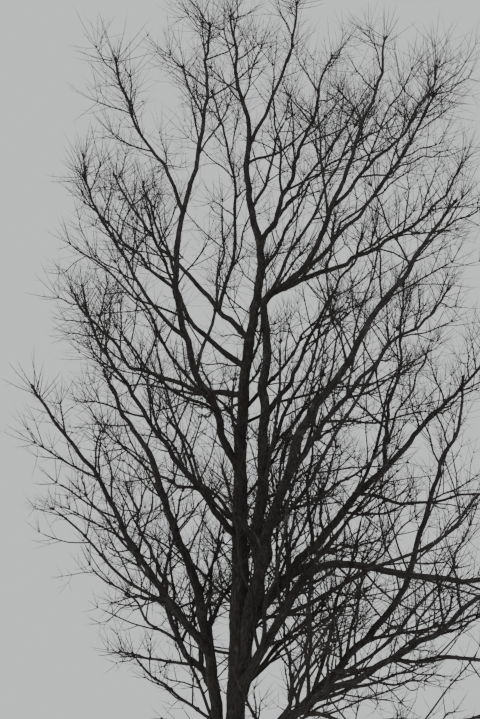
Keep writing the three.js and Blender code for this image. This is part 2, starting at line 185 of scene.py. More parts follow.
BOUGHS = {
    "left_stem": Bough(
        "trunk", 1.15, (0.084, 0.044), (-0.43, 0.26, 3.9), (-1.08, 0.8, 5.85), (-2.15, 1.5, 8.25)
    ),
    "left_outer": Bough(
        "left_stem", 3.45, (0.046, 0.028), (-1.05, -0.48, 4.33), (-1.45, -1.0, 4.95), (-2.5, -1.95, 6.4)
    ),
    "left_back": Bough(
        "left_stem", 2.9, (0.042, 0.027), (-0.85, 1.0, 4.05), (-1.15, 1.7, 4.95), (-1.8, 2.95, 6.8)
    ),
    "left_low": Bough(
        "trunk", 4.85, (0.044, 0.027), (-0.48, -0.65, 5.33), (-0.85, -1.15, 5.72), (-1.9, -2.4, 7.2)
    ),
    "left_cross": Bough(
        "trunk", 6.85, (0.042, 0.026), (-0.64, 0.26, 7.08), (-1.15, 0.38, 7.33), (-2.5, 0.62, 9.0)
    ),
    "left_mid": Bough(
        "trunk", 7.25, (0.038, 0.024), (-0.56, -0.02, 7.9), (-0.88, 0.1, 8.7), (-1.5, 0.45, 10.9)
    ),
    "left_tall": Bough(
        "trunk", 5.75, (0.05, 0.028), (-0.79, -0.8, 7.95), (-0.52, -1.48, 9.8), (-0.38, -1.75, 12.1)
    ),
    "left_tall_low": Bough(
        "left_tall", 7.4, (0.027, 0.02), (-1.08, -0.93, 7.75), (-1.33, -1.06, 8.08), (-2.1, -1.65, 9.5)
    ),
    "left_tall_side": Bough(
        "left_tall", 9.0, (0.025, 0.019), (-0.9, -1.46, 9.42), (-1.12, -1.54, 9.76), (-1.7, -1.85, 11.3)
    ),
    "left_upper": Bough(
        "trunk", 7.68, (0.042, 0.026), (-0.54, 0.65, 8.88), (-1.08, 1.06, 9.7), (-2.25, 1.75, 12.0)
    ),
    "leader_left": Bough(
        "left_upper", 8.35, (0.028, 0.021), (-0.08, 0.52, 9.2), (-0.02, 0.56, 10.2), (-0.45, 0.62, 12.9)
    ),
    "leader_fork": Bough(
        "trunk", 11.0, (0.027, 0.021), (0.56, -0.3, 11.7), (0.7, -0.5, 12.05), (0.95, -0.95, 13.2)
    ),
    "right_upper": Bough(
        "trunk", 9.05, (0.042, 0.026), (0.78, 0.32, 10.45), (1.03, 0.5, 11.4), (1.65, 0.7, 13.8)
    ),
    "right_fan": Bough(
        "right_upper", 9.7, (0.027, 0.02), (0.98, 0.86, 10.75), (1.38, 1.22, 11.6), (2.15, 1.75, 13.45)
    ),
    "right_stem": Bough(
        "trunk", 3.15, (0.084, 0.052), (0.25, -0.26, 4.3), (0.4, -0.4, 7.7)
    ),
    "right_tall": Bough(
        "right_stem", None, (0.05, 0.03), (1.08, -0.48, 8.9), (1.52, -0.66, 9.9), (2.38, -0.95, 12.6)
    ),
    "right_sun": Bough(
        "right_tall", 8.2, (0.038, 0.026), (1.85, 0.33, 9.23), (2.45, 0.52, 9.72), (3.8, 0.85, 11.6)
    ),
    "right_front": Bough(
        "right_tall", 8.55, (0.03, 0.021), (1.45, -0.9, 8.87), (1.9, -1.2, 9.33), (2.8, -1.85, 10.7)
    ),
    "right_sky": Bough(
        "right_tall", 9.5, (0.027, 0.021), (2.0, -0.33, 10.42), (2.35, -0.15, 10.9), (3.35, 0.25, 13.1)
    ),
    "right_heart": Bough(
        "right_stem", 6.35, (0.034, 0.022), (0.9, 0.12, 7.45), (1.18, 0.33, 8.15), (2.05, 0.8, 10.15)
    ),
    "right_inner": Bough(
        "right_stem", 3.95, (0.072, 0.038), (0.62, -0.88, 5.5), (1.6, -1.45, 7.08), (2.9, -2.1, 9.0)
    ),
    "right_inner_side": Bough(
        "right_inner", 5.4, (0.038, 0.023), (1.45, -0.56, 6.65), (2.05, -0.18, 7.43), (3.3, 0.35, 8.9)
    ),
    "right_mid": Bough(
        "right_stem", 3.7, (0.066, 0.036), (1.42, 0.8, 5.37), (2.65, 1.38, 6.8), (4.25, 1.95, 8.7)
    ),
    "right_mid_up": Bough(
        "right_mid", 6.15, (0.032, 0.022), (2.3, 1.5, 7.0), (2.45, 1.6, 7.75), (2.75, 1.85, 9.9)
    ),
    "right_low": Bough(
        "trunk", 2.95, (0.062, 0.034), (0.98, -0.78, 4.32), (1.95, -1.45, 4.08), (3.5, -2.5, 3.95)
    ),
    "base_right": Bough(
        "trunk", 2.15, (0.056, 0.033), (2.03, 0.8, 4.1), (2.62, 0.82, 5.45), (3.5, 0.85, 7.9)
    ),
    "base_front": Bough(
        "trunk", 2.25, (0.05, 0.031), (1.1, -1.3, 2.9), (1.7, -1.85, 3.15), (3.0, -3.05, 4.3)
    ),
    "back_low": Bough(
        "trunk", 2.75, (0.054, 0.032), (0.3, 1.2, 4.25), (0.48, 1.95, 5.35), (0.85, 3.2, 7.7)
    ),
    "back_high": Bough(
        "trunk", 6.2, (0.044, 0.028), (0.15, 1.15, 7.8), (0.28, 1.7, 8.7), (0.55, 2.7, 11.0)
    ),
}


class Seeded:
    """Runs of numbers from 0 to 1, one run for each key: the same key always gives the same run."""

    def __init__(self, keys):
        self.state = (np.asarray(keys, np.int64) * 48271 + 12345) % PRIME
        self()
        self()

    def __call__(self):
        self.state = self.state * 16807 % PRIME
        return self.state / PRIME


def child_key(keys, index):
    """A key made from a parent's key and a number, so that each child has a random run of its own."""
    return (np.asarray(keys, np.int64) * 613 + np.asarray(index, np.int64) * 7919 + 101) % PRIME


# The number of the first cane of a kind on its parent, where that isn't 0
BETWEEN_INDEX = 20
INNER_SIDE_INDEX = 40
SPUR_INDEX = 60
FAN_INDEX = 200
KNOB_TWIG_INDEX = 220
TWIGLET_INDEX = 300
# Numbers that set other runs apart from those
CHILD_INDEX = 50
THINNING_INDEX = 700
KINK_INDEX = 900


def key_of(name):
    key = 7
    for letter in name:
        key = (key * 31 + ord(letter)) % PRIME
    return key


def unit(vectors):
    return vectors / np.linalg.norm(vectors, axis=-1, keepdims=True)


def square_to(headings):
    """Two directions square to each heading and to each other."""
    other = np.where(np.abs(headings[..., 2:]) > NEARLY_UPRIGHT, ACROSS, UP)
    side = unit(np.cross(other, headings))
    return side, np.cross(headings, side)


def turned_out(headings, turn, angle):
    """Directions at an angle to each heading, turned round it. Both in degrees."""
    turn, angle = np.radians(turn), np.radians(angle)
    side, over = square_to(headings)
    out = side * np.cos(turn) + over * np.sin(turn)
    return headings * np.cos(angle) + out * np.sin(angle)


class Path:
    """Stations in order, with the distance along to each."""

    def __init__(self, points):
        self.points = np.array(points, float)
        steps = np.linalg.norm(np.diff(self.points, axis=0), axis=1)
        self.along = np.concatenate(([0.0], np.cumsum(steps)))
        self.length = self.along[-1]

    def leg(self, distance):
        """The leg that holds a distance, and the share of it that lies before."""
        i = min(1 + int(np.sum(self.along[1:] < distance)), len(self.points) - 1)
        return i, (distance - self.along[i - 1]) / (self.along[i] - self.along[i - 1])

    def at(self, distance):
        i, share = self.leg(distance)
        step = self.points[i] - self.points[i - 1]
        return self.points[i - 1] + step * share, unit(step)

    def value_at(self, values, distance):
        i, share = self.leg(distance)
        return values[i - 1] + (values[i] - values[i - 1]) * share

    def distance_at_height(self, height):
        i = int(np.argmax(self.points[:, 2] >= height))
        low, high = self.points[i - 1, 2], self.points[i, 2]
        share = (height - low) / (high - low)
        return self.along[i - 1] + (self.along[i] - self.along[i - 1]) * share


CURVE_DIVISIONS = 200


def smooth_curve(stations, count):
    """Evenly spaced places on the centripetal curve through some stations, end to end."""
    ends = (2 * stations[0] - stations[1], 2 * stations[-1] - stations[-2])
    knots = np.vstack((ends[0], stations, ends[1]))
    root = np.sqrt(np.linalg.norm(np.diff(knots, axis=0), axis=1))[:, None]

    def places(t):
        spans = len(stations) - 1
        i = np.minimum((t * spans).astype(int), spans - 1)
        w = (t * spans - i)[:, None]
        x0, x1, x2, x3 = (knots[i + k] for k in range(4))
        d0, d1, d2 = (root[i + k] for k in range(3))
        t1 = ((x1 - x0) / d0 - (x2 - x0) / (d0 + d1) + (x2 - x1) / d1) * d1
        t2 = ((x2 - x1) / d1 - (x3 - x1) / (d1 + d2) + (x3 - x2) / d2) * d1
        return x1 + t1 * w + (3 * (x2 - x1) - 2 * t1 - t2) * w**2 + (2 * (x1 - x2) + t1 + t2) * w**3

    shares = np.linspace(0, 1, CURVE_DIVISIONS * max(1, (len(stations) - 1) // 4) + 1)
    chords = np.linalg.norm(np.diff(places(shares), axis=0), axis=1)
    along = np.concatenate(([0.0], np.cumsum(chords)))
    steps = count(along[-1]) if callable(count) else count
    wanted = np.linspace(0, along[-1], steps + 1)
    return places(np.interp(wanted, along, shares))


def kinked_path(foot, bend, tip, random, first_heading=None):
    """A kinked limb from a foot through a bend to a tip, keeping its first heading if given one."""
    stations = np.array((foot, bend, tip), float)
    points = smooth_curve(
        stations, lambda length: max(LEAST_KINKS, math.floor(length / KINK_SPACING + 0.5))
    )
    stray = 2 * KINK_SHARE * KINK_SPACING
    for point in points[1:-1]:
        offsets = [(random() - 0.5) * stray for _ in range(3)]
        point += (offsets[0], offsets[1], offsets[2] * KINK_RISE)
    if first_heading is not None:
        points[1] = points[0] + first_heading * np.linalg.norm(points[1] - points[0])
    return points


class Limb:
    """A limb from its foot to its tip. Its first stations are the bough and the rest its spray's stem."""

    def __init__(self, name, points, radii, parent=None, spray=None):
        self.name = name
        self.parent = parent
        bough = Path(points)
        self.spray = None if spray is None else np.array(spray, float)
        self.split = len(points) - 1
        if spray is not None:
            forks = [bough.distance_at_height(other.height) for other in BOUGHS.values()
                     if other.parent == name]
            bare = max(BARE_SHARE * bough.length, max(forks, default=0) + PAST_FORK)
            self.split = int(np.argmax(bough.along >= min(bough.length, bare)))
            points, radii = self.with_stem(bough.points, np.asarray(radii, float))
        self.path = Path(points)
        self.radii = np.asarray(radii, float)

    def with_stem(self, points, radii):
        """The stem keeps the limb's heading at first, then bends to the end of its spray."""
        onward = unit(points[-1] - points[-2])
        outer = np.linalg.norm(self.spray - points[-1])
        bend = (points[-1] + self.spray) / 2 + onward * STEM_SWAY * outer - UP * STEM_SAG * outer
        random = Seeded(key_of(f"twigs_{self.name}"))
        end = kinked_path(points[-1], bend, self.spray, random, onward)[1:]
        shares = np.arange(1, len(end) + 1) / len(end)
        tapered = radii[-1] + (STEM_TIP_RADIUS - radii[-1]) * shares
        return np.vstack((points, end)), np.concatenate((radii, tapered))

    @property
    def stem_foot(self):
        return self.path.points[self.split]


def bough_limb(name, spec, parent):
    random = Seeded(key_of(name))
    start = parent.path.length if spec.height is None else parent.path.distance_at_height(spec.height)
    foot, heading = parent.path.at(start)
    goes_on = spec.height is None
    points = kinked_path(foot, spec.bend, spec.tip, random, heading if goes_on else None)
    path = Path(points)
    thick, thin = spec.thick
    radii = thick + (thin - thick) * path.along / path.length
    if not goes_on:
        radii *= 1 + COLLAR_SHARE * np.exp(-path.along / COLLAR_LENGTH)
        radii = np.minimum(radii, THICKEST_BOUGH * parent.path.value_at(parent.radii, start))
    return Limb(name, points, radii, parent, spec.spray)


@functools.cache
def limbs():
    """Every limb by name, from the trunk outwards."""
    trunk = Limb(
        "trunk", [(s.x, s.y, s.height) for s in TRUNK], [s.radius for s in TRUNK], spray=TRUNK_SPRAY
    )
    grown = {"trunk": trunk}
    for name, spec in BOUGHS.items():
        grown[name] = bough_limb(name, spec, grown[spec.parent])
    return grown


# Spaces of the sprays and the legs that a twig keeps off


@functools.cache
def sprays():
    """The limbs that end in a spray, with the middle and radius of each one's space."""
    carriers = [limb for limb in limbs().values() if limb.spray is not None]
    feet = np.array([limb.stem_foot for limb in carriers])
    ends = np.array([limb.spray for limb in carriers])
    middles = feet + (ends - feet) * SPACE_AHEAD
    radii = SPACE_LEAST + SPACE_REACH * np.linalg.norm(ends - feet, axis=1)
    return carriers, middles, radii


def room_in_space(points, homes):
    """How far each point lies inside its own spray's space."""
    _, middles, radii = sprays()
    away = np.linalg.norm(points[:, None] - middles, axis=2)
    power = away**2 - radii**2
    own = np.take_along_axis(power, homes[:, None], axis=1)
    between = np.linalg.norm(middles[homes][:, None] - middles, axis=2)
    rows = np.arange(len(points))
    between[rows, homes] = 1.0
    room = (power - own) / (2 * between)
    room[rows, homes] = np.inf
    edge = radii[homes] - away[rows, homes]
    return np.minimum(edge, room.min(axis=1))


BOUGH_HOME = 1000  # added to a limb's number where a branch leaves its bare part


@functools.cache
def limb_legs():
    """The straight legs of every limb: both ends, the thicker radius, and the home of each leg."""
    carriers, _, _ = sprays()
    rows = []
    for number, limb in enumerate(limbs().values()):
        stem_home = carriers.index(limb) if limb in carriers else -1
        for i in range(1, len(limb.path.points)):
            home = stem_home if i > limb.split else BOUGH_HOME + number
            radius = max(limb.radii[i - 1], limb.radii[i])
            rows.append((*limb.path.points[i - 1], *limb.path.points[i], radius, home))
    table = np.array(rows)
    return table[:, 0:3], table[:, 3:6], table[:, 6], table[:, 7].astype(int)


def leg_gaps(a, b, c, d):
    """The least distance between each leg a-b and each leg c-d."""
    u = (b - a)[:, None]
    v = (d - c)[None]
    w = a[:, None] - c[None]
    uu, uv, vv = (u * u).sum(-1), (u * v).sum(-1), (v * v).sum(-1)
    uw, vw = (u * w).sum(-1), (v * w).sum(-1)
    spread = np.maximum(uu * vv - uv * uv, 1e-12)
    s = np.clip((uv * vw - vv * uw) / spread, 0, 1)
    t = np.clip((uv * s + vw) / vv, 0, 1)
    s = np.clip((uv * t - uw) / uu, 0, 1)
    return np.linalg.norm(w + u * s[..., None] - v * t[..., None], axis=-1)


BATCH = 1500


def clear_of_limbs(starts, ends, thick, homes):
    """Whether each leg keeps off every limb but its own."""
    c, d, radii, owners = limb_legs()
    clear = np.ones(len(starts), bool)
    for first in range(0, len(starts), BATCH):
        part = slice(first, first + BATCH)
        gaps = leg_gaps(starts[part], ends[part], c, d)
        reach = radii + thick[part, None] + TWIG_CLEARANCE
        blocked = (gaps < reach) & (owners != homes[part, None])
        clear[part] = ~blocked.any(axis=1)
    return clear


# Canes


class Canes:
    """Many tapering canes at once, each with the same number of evenly spaced stations.

    home is the spray that a cane grows in, or the bare limb that it leaves."""

    def __init__(self, stations, radii, keys, homes):
        self.stations = stations
        self.radii = radii
        self.keys = keys
        self.homes = homes
        self.lengths = np.linalg.norm(np.diff(stations, axis=1), axis=2).sum(axis=1)

    def __len__(self):
        return len(self.stations)

    def at(self, share):
        """The place, heading and radius of each cane at its share of the length."""
        last = self.stations.shape[1] - 1
        share = np.broadcast_to(share, len(self))
        i = np.clip((share * last).astype(int), 0, last - 1)
        f = share * last - i
        n = np.arange(len(self))
        before, after = self.stations[n, i], self.stations[n, i + 1]
        radius = self.radii[n, i] + (self.radii[n, i + 1] - self.radii[n, i]) * f
        return before + (after - before) * f[:, None], unit(after - before), radius

    def picked(self, rows):
        return Canes(self.stations[rows], self.radii[rows], self.keys[rows], self.homes[rows])

    def cut_at_knob(self, share):
        """The canes up to the knob that ends them. Their fans of twigs fill what is cut off."""
        last = self.stations.shape[1] - 1
        places = [self.at(share * k / last) for k in range(last + 1)]
        stations = np.stack([point for point, _, _ in places], axis=1)
        radii = np.stack([radius for _, _, radius in places], axis=1)
        return Canes(stations, radii, self.keys, self.homes)


def joined_canes(several):
    columns = ("stations", "radii", "keys", "homes")
    return Canes(*(np.concatenate([getattr(canes, column) for canes in several]) for column in columns))


class Habit(NamedTuple):
    """How canes of one kind grow. Angles in degrees, and radius at the foot and at the tip.

    Lengths are shares of the parent, or metres where the cane is free: it may then leave its
    spray's space, but never the solids' reach. lift turns a cane upwards over its length, and
    kink is how far it strays sideways at each of its nodes."""

    angle: float
    angle_spread: float
    length: float
    taper: float
    radius: tuple
    lift: float
    legs: int
    stations: int
    nodes: int
    kink: float
    free: bool = False


def in_reach(points):
    """Whether points lie within the solids' own reach."""
    low, high = (np.array(corner) for corner in CAD_BOX)
    return ((points > low) & (points < high)).all(axis=-1)


def grown_canes(feet, ways, full, thick, keys, homes, habit):
    """Canes at the longest of the lengths tried that fits. A cane that never fits is skipped."""
    steps = habit.stations - 1
    random = Seeded(child_key(keys, KINK_INDEX))
    shares = (np.arange(steps) + 0.5) / steps
    stray = np.stack([[random() - 0.5 for _ in range(3)] for _ in range(habit.nodes)])
    stray = 2 * habit.kink * stray.transpose(2, 0, 1)
    stray[:, 0] = 0
    stray = stray[:, np.arange(steps) * habit.nodes // steps]
    lifts = habit.lift * (shares + 0.5 / habit.legs)
    legs = unit(ways[:, None] + UP * lifts[:, None] + stray) * (full / steps)[:, None, None]
    offsets = np.concatenate((np.zeros((len(feet), 1, 3)), np.cumsum(legs, axis=1)), axis=1)
    scale = np.zeros(len(feet))
    for shorter in SHORTER:
        todo = np.flatnonzero(scale == 0)
        tried = feet[todo, None] + offsets[todo] * shorter
        fits = in_reach(tried[:, 1:]).all(axis=1)
        in_spray = (homes[todo] < BOUGH_HOME) & (not habit.free)
        corners = [tried[:, round(steps * (leg + 1) / habit.legs)] for leg in range(habit.legs)]
        for corner in corners:
            rows = np.flatnonzero(in_spray & fits)
            fits[rows] = room_in_space(corner[rows], homes[todo][rows]) > SPACE_MARGIN
        for start, end in zip([tried[:, 0], *corners], corners):
            rows = np.flatnonzero(fits)
            fits[rows] = clear_of_limbs(start[rows], end[rows], thick[todo][rows], homes[todo][rows])
        scale[todo[fits]] = shorter
    kept = scale > 0
    stations = feet[kept, None] + offsets[kept] * scale[kept, None, None]
    fade = np.linspace(0, 1, habit.stations)
    radii = thick[kept, None] * (1 - fade) + habit.radius[1] * fade
    return Canes(stations, radii, keys[kept], homes[kept])


VIGOUR_LOW = 0.42
VIGOUR_RISE = 0.83


def vigour(heights):
    """How much of their habit's length free canes have. It rises with height in the crown."""
    return VIGOUR_LOW + VIGOUR_RISE * heights / CAD_HEIGHT


FULL_BELOW = 4.4
OPEN_ABOVE = 6.8


def opened_upwards(canes, share):
    """Fewer canes towards the top, where the crown lets the sky through and only a share is kept."""
    heights = canes.stations[:, 0, 2]
    kept = np.interp(heights, (FULL_BELOW, OPEN_ABOVE), (1, share))
    return canes.picked(Seeded(child_key(canes.keys, THINNING_INDEX))() < kept)


TURN_SPREAD = 50
LEAST_SIDE = 0.8
SIDE_SPREAD = 0.4


def side_canes(parents, habit, shares, first_index=0):
    """Canes that leave their parents at the given shares of their length.

    shares is a list of functions of the parent's random run, one for each cane."""
    twist = 360 * Seeded(parents.keys)()
    batches = []
    for k, share_of in enumerate(shares, first_index):
        random = Seeded(child_key(parents.keys, k))
        share = share_of(random)
        point, heading, radius = parents.at(share)
        turn = k * SPIRAL + twist + TURN_SPREAD * (random() - 0.5)
        angle = habit.angle + habit.angle_spread * (random() - 0.5)
        way = turned_out(heading, turn[:, None], angle[:, None])
        size = vigour(point[:, 2]) if habit.free else parents.lengths
        full = size * habit.length * (1 - habit.taper * share) * (LEAST_SIDE + SIDE_SPREAD * random())
        thick = np.minimum(habit.radius[0], CHILD_SHARE * radius)
        keys = child_key(parents.keys, k + CHILD_INDEX)
        batches.append((point, way, full, thick, keys, parents.homes))
    columns = [np.concatenate(column) for column in zip(*batches)]
    return grown_canes(*columns, habit)


def shares_along(count, first, last, play=1.0):
    """Canes spaced along a stretch of their parent. play is how much of its own room each may use."""
    step = (last - first) / (count - 1 + play)
    return [lambda random, k=k: first + step * (k + play * random()) for k in range(count)]


CLUSTER_STRAY = 0.012


def clustered_shares(shares, stray=CLUSTER_STRAY):
    """Shoots that come from a few knobs: the share of each is given."""
    return [lambda random, share=share: share + stray * (random() - 1) for share in shares]


SHOOT = Habit(48, 16, 0.54, 0.42, (0.014, 0.006), 0.5, 2, 13, 6, 0.3)
SIDE_SHOOT = Habit(44, 16, 0.55, 0.3, (0.008, 0.0045), 0.3, 1, 7, 3, 0.26)
LONG_BRANCH = Habit(34, 32, 1.0, 0.0, (0.031, 0.009), 0.34, 4, 19, 9, 0.3, True)
INNER_BRANCH = Habit(52, 36, 1.0, 0.0, (0.023, 0.010), 0.5, 3, 19, 9, 0.3, True)
INNER_SIDE = Habit(50, 26, 0.46, 0.35, (0.0115, 0.0055), 0.4, 2, 8, 4, 0.28)
SPUR = Habit(54, 30, 0.5, 0.3, (0.0062, 0.0038), 0.3, 1, 5, 2, 0.3)
STEM_TWIG = Habit(48, 84, 0.62, 0.0, (0.0062, 0.0024), 0.3, 1, 6, 5, 0.05, True)
FAN_TWIG = Habit(42, 72, 0.54, 0.0, (0.0056, 0.0022), 0.34, 1, 5, 4, 0.07, True)
SIDE_TWIG = Habit(42, 66, 0.39, 0.0, (0.0045, 0.0019), 0.3, 1, 4, 3, 0.08, True)
KNOB_TWIG = Habit(58, 44, 0.42, 0.0, (0.0045, 0.0019), 0.42, 1, 4, 3, 0.08, True)
TWIGLET = Habit(58, 30, 0.24, 0.3, (0.0027, 0.0014), 0.1, 1, 2, 1, 0.0)
STEM_STATIONS = 90


class Carried(NamedTuple):
    """How a limb carries its branches. least and by_radius give their length, past is the share
    of its stem that they go on along, and kept is the share of them that the upper crown has."""

    label: str
    habit: Habit
    spacing: float
    least: float
    by_radius: float
    past: float
    kept: float


CARRIED = (
    Carried("long", LONG_BRANCH, 0.40, 1.5, 50.0, 0.7, 0.55),
    Carried("inner", INNER_BRANCH, 0.33, 0.75, 50.0, 0.8, 0.12),
)
CARRIED_FROM = 2.1  # branches start this high

CROOK_SPACING = 0.19
CROOK_STRAY = 0.022
CROOK_EASE = 0.4
CROOK_RADIUS = 0.045  # thicker limbs stray less


def values_at(wanted, along, rows):
    """Rows of numbers, such as places, at the distances wanted, from rows at other distances."""
    return np.stack([np.interp(wanted, along, column) for column in rows.T], axis=1)


def crooks(name, distances, length, radii):
    """How far a limb strays from its smooth line at some distances along it. None at its ends."""
    random = Seeded(key_of(f"crooks_{name}"))
    count = int(length / CROOK_SPACING) + 2
    strays = np.array([[random() - 0.5 for _ in range(3)] for _ in range(count)]) * 2 * CROOK_STRAY
    nodes = np.linspace(0, length, count)
    ease = np.clip(np.minimum(distances, length - distances) / CROOK_EASE, 0, 1)
    ease *= np.minimum(1, CROOK_RADIUS / radii)
    return values_at(distances, nodes, strays) * ease[:, None]


def smooth_limb(path, radii, steps):
    """Places on a limb's smooth line, how far along it each lies, and the radius there."""
    points = smooth_curve(path.points, steps)
    along = Path(points).along
    return points, along, np.interp(along, path.along * along[-1] / path.length, radii)


def drawn_limb(limb, steps):
    """A limb's middle line with its small crooks, and its radius at each station."""
    points, along, radii = smooth_limb(limb.path, limb.radii, steps)
    return points + crooks(limb.name, along, along[-1], radii), radii


def nearest_station(drawn, point):
    return int(np.linalg.norm(drawn - point, axis=1).argmin())


def canes_of_limbs():
    """The spray stems as canes, for their shoots to leave."""
    carriers, _, _ = sprays()
    stations, radii = [], []
    for limb in carriers:
        drawn, thick = drawn_limb(limb, STEM_STATIONS * 4)
        along = Path(drawn).along
        wanted = np.linspace(along[nearest_station(drawn, limb.stem_foot)], along[-1], STEM_STATIONS)
        stations.append(values_at(wanted, along, drawn))
        radii.append(np.interp(wanted, along, thick))
    keys = np.array([key_of(f"twigs_{limb.name}") for limb in carriers])
    return Canes(np.array(stations), np.array(radii), keys, np.arange(len(carriers)))


LIMB_STEPS = 400
BARE_FOOT = 0.35
LEAST_BRANCH = 0.55
BRANCH_SPREAD = 0.75


def limb_branches(kind):
    """Branches of one kind that leave each limb past its foot, and on along part of its spray's stem."""
    rows = []
    for number, limb in enumerate(limbs().values()):
        drawn, radii = drawn_limb(limb, LIMB_STEPS)
        path = Path(drawn)
        bare = path.along[nearest_station(drawn, limb.stem_foot)]
        reach = bare + (path.length - bare) * kind.past
        key = key_of(f"{kind.label}_{limb.name}")
        for k in range(int(reach / kind.spacing)):
            random = Seeded(child_key(key, k))
            distance = (k + random()) * kind.spacing
            point, heading = path.at(distance)
            if distance < (BARE_FOOT if limb.parent else CARRIED_FROM) or point[2] < CARRIED_FROM:
                continue
            turn = k * SPIRAL + TURN_SPREAD * random()
            angle = kind.habit.angle + kind.habit.angle_spread * (random() - 0.5)
            way = turned_out(heading, turn, angle)
            thick = min(kind.habit.radius[0], CHILD_SHARE * np.interp(distance, path.along, radii))
            full = (kind.least + kind.by_radius * thick) * (LEAST_BRANCH + BRANCH_SPREAD * random())
            rows.append((point, way, full, thick, child_key(key, k + CHILD_INDEX), BOUGH_HOME + number))
    return grown_canes(*(np.array(column) for column in zip(*rows)), kind.habit)


# How many canes, the stretch of their parent that they leave, and their play where it isn't 1
SHOOTS_ALONG = (8, 0.08, 0.9, 0.5)
BETWEEN_ALONG = (6, 0.03, 0.88)
SIDE_SHOOTS_ALONG = (3, 0.2, 0.6, 0.5)
MORE_ALONG = (2, 0.15, 0.62)
INNER_SIDES_ALONG = (6, 0.12, 0.84)
SPURS_ALONG = (2, 0.25, 0.9)
KNOB_TWIGS_ALONG = (22, 0.2, 1.0)
# The share of each kind's length at which it ends in a knob
STEM_KNOB = 0.9
SHOOT_KNOB = 0.64
SIDE_KNOB = 0.6
INNER_SIDE_KNOB = 0.7
INNER_KNOB = 0.85
STEM_TWIGS = 13
SHOOT_TWIGS = 6
SIDE_TWIGS = 4
SPUR_TWIGS = 3
BETWEEN_KEPT = 0.5
MORE_KEPT = 0.35
LEAST_FORKING = 0.95
LEAST_SPURRED = 0.35
TWIGS_BESIDE = (0.35, 0.6, 0.75, 0.9)
SIDE_TWIGS_BESIDE = (0.7,)
TWIGLETS_AT = {
    "stem_twigs": (0.45, 0.65, 0.8),
    "fan_twigs": (0.45, 0.65, 0.8),
    "side_twigs": (0.6,),
    "knob_twigs": (0.6,),
}
FAN_FOOT = 0.995
STEM_FAN_STRAY = 0.07
TWIGLET_STRAY = 0.15


def fans_on(several, habit, count, stray=CLUSTER_STRAY):
    """A fan of fine twigs on the knob at the end of each cane."""
    shares = clustered_shares([FAN_FOOT] * count, stray)
    return joined_canes([side_canes(canes, habit, shares, FAN_INDEX) for canes in several])


@functools.cache
def grown_tree():
    """All that grows on from the limbs, by kind."""
    stems = canes_of_limbs()
    shoots = side_canes(stems, SHOOT, shares_along(*SHOOTS_ALONG))
    between = side_canes(stems, SHOOT, shares_along(*BETWEEN_ALONG), BETWEEN_INDEX)
    forking = shoots.picked(shoots.lengths >= LEAST_FORKING)
    own = side_canes(forking, SIDE_SHOOT, shares_along(*SIDE_SHOOTS_ALONG))
    branches = joined_canes([shoots, opened_upwards(between, BETWEEN_KEPT)])
    more = side_canes(branches, SIDE_SHOOT, shares_along(*MORE_ALONG), BETWEEN_INDEX)
    inner = joined_canes([opened_upwards(limb_branches(kind), kind.kept) for kind in CARRIED])
    inner_sides = side_canes(inner, INNER_SIDE, shares_along(*INNER_SIDES_ALONG), INNER_SIDE_INDEX)
    stems = stems.cut_at_knob(STEM_KNOB)
    branches = branches.cut_at_knob(SHOOT_KNOB)
    inner = inner.cut_at_knob(INNER_KNOB)
    sides = joined_canes([own, opened_upwards(more, MORE_KEPT)]).cut_at_knob(SIDE_KNOB)
    inner_sides = inner_sides.cut_at_knob(INNER_SIDE_KNOB)
    spurred = inner_sides.picked(inner_sides.lengths > LEAST_SPURRED)
    spurs = side_canes(spurred, SPUR, shares_along(*SPURS_ALONG), SPUR_INDEX).cut_at_knob(SIDE_KNOB)
    tree = {
        "stems": stems,
        "branches": branches,
        "inner_branches": inner,
        "side_branches": sides,
        "inner_sides": inner_sides,
        "spurs": spurs,
        "stem_twigs": fans_on([stems], STEM_TWIG, STEM_TWIGS, STEM_FAN_STRAY),
        "fan_twigs": fans_on([branches, inner], FAN_TWIG, SHOOT_TWIGS),
        "side_twigs": joined_canes([
            fans_on([sides, inner_sides], SIDE_TWIG, SIDE_TWIGS), fans_on([spurs], SIDE_TWIG, SPUR_TWIGS)
        ]),
    }
    places = [(stems, shares_along(*KNOB_TWIGS_ALONG))]
    places += [(canes, clustered_shares(TWIGS_BESIDE)) for canes in (branches, inner)]
    places += [(canes, clustered_shares(SIDE_TWIGS_BESIDE)) for canes in (sides, inner_sides)]
    tree["knob_twigs"] = joined_canes(
        [side_canes(canes, KNOB_TWIG, shares, KNOB_TWIG_INDEX) for canes, shares in places]
    )
    for name, shares in TWIGLETS_AT.items():
        shares = clustered_shares(shares, TWIGLET_STRAY)
        tree[f"{name}_twiglets"] = side_canes(tree[name], TWIGLET, shares, TWIGLET_INDEX)
    return tree


# Meshes of many small things, joined


def joined_mesh(name, shapes):
    """One mesh from shapes given as vertices, the corners of their faces and each face's size."""
    firsts = np.cumsum([0] + [len(shape[0]) for shape in shapes])
    loops = np.concatenate([shape[1] + first for shape, first in zip(shapes, firsts)])
    vertices, totals = (np.concatenate([shape[column] for shape in shapes]) for column in (0, 2))
    mesh = bpy.data.meshes.new(name)
    mesh.vertices.add(len(vertices))
    mesh.vertices.foreach_set("co", vertices.astype(np.float32).ravel())
    mesh.loops.add(len(loops))
    mesh.loops.foreach_set("vertex_index", loops.astype(np.int32))
    mesh.polygons.add(len(totals))
    mesh.polygons.foreach_set("loop_start", (np.cumsum(totals) - totals).astype(np.int32))
    mesh.polygons.foreach_set("use_smooth", np.ones(len(totals), bool))
    mesh.update(calc_edges=True)
    return mesh


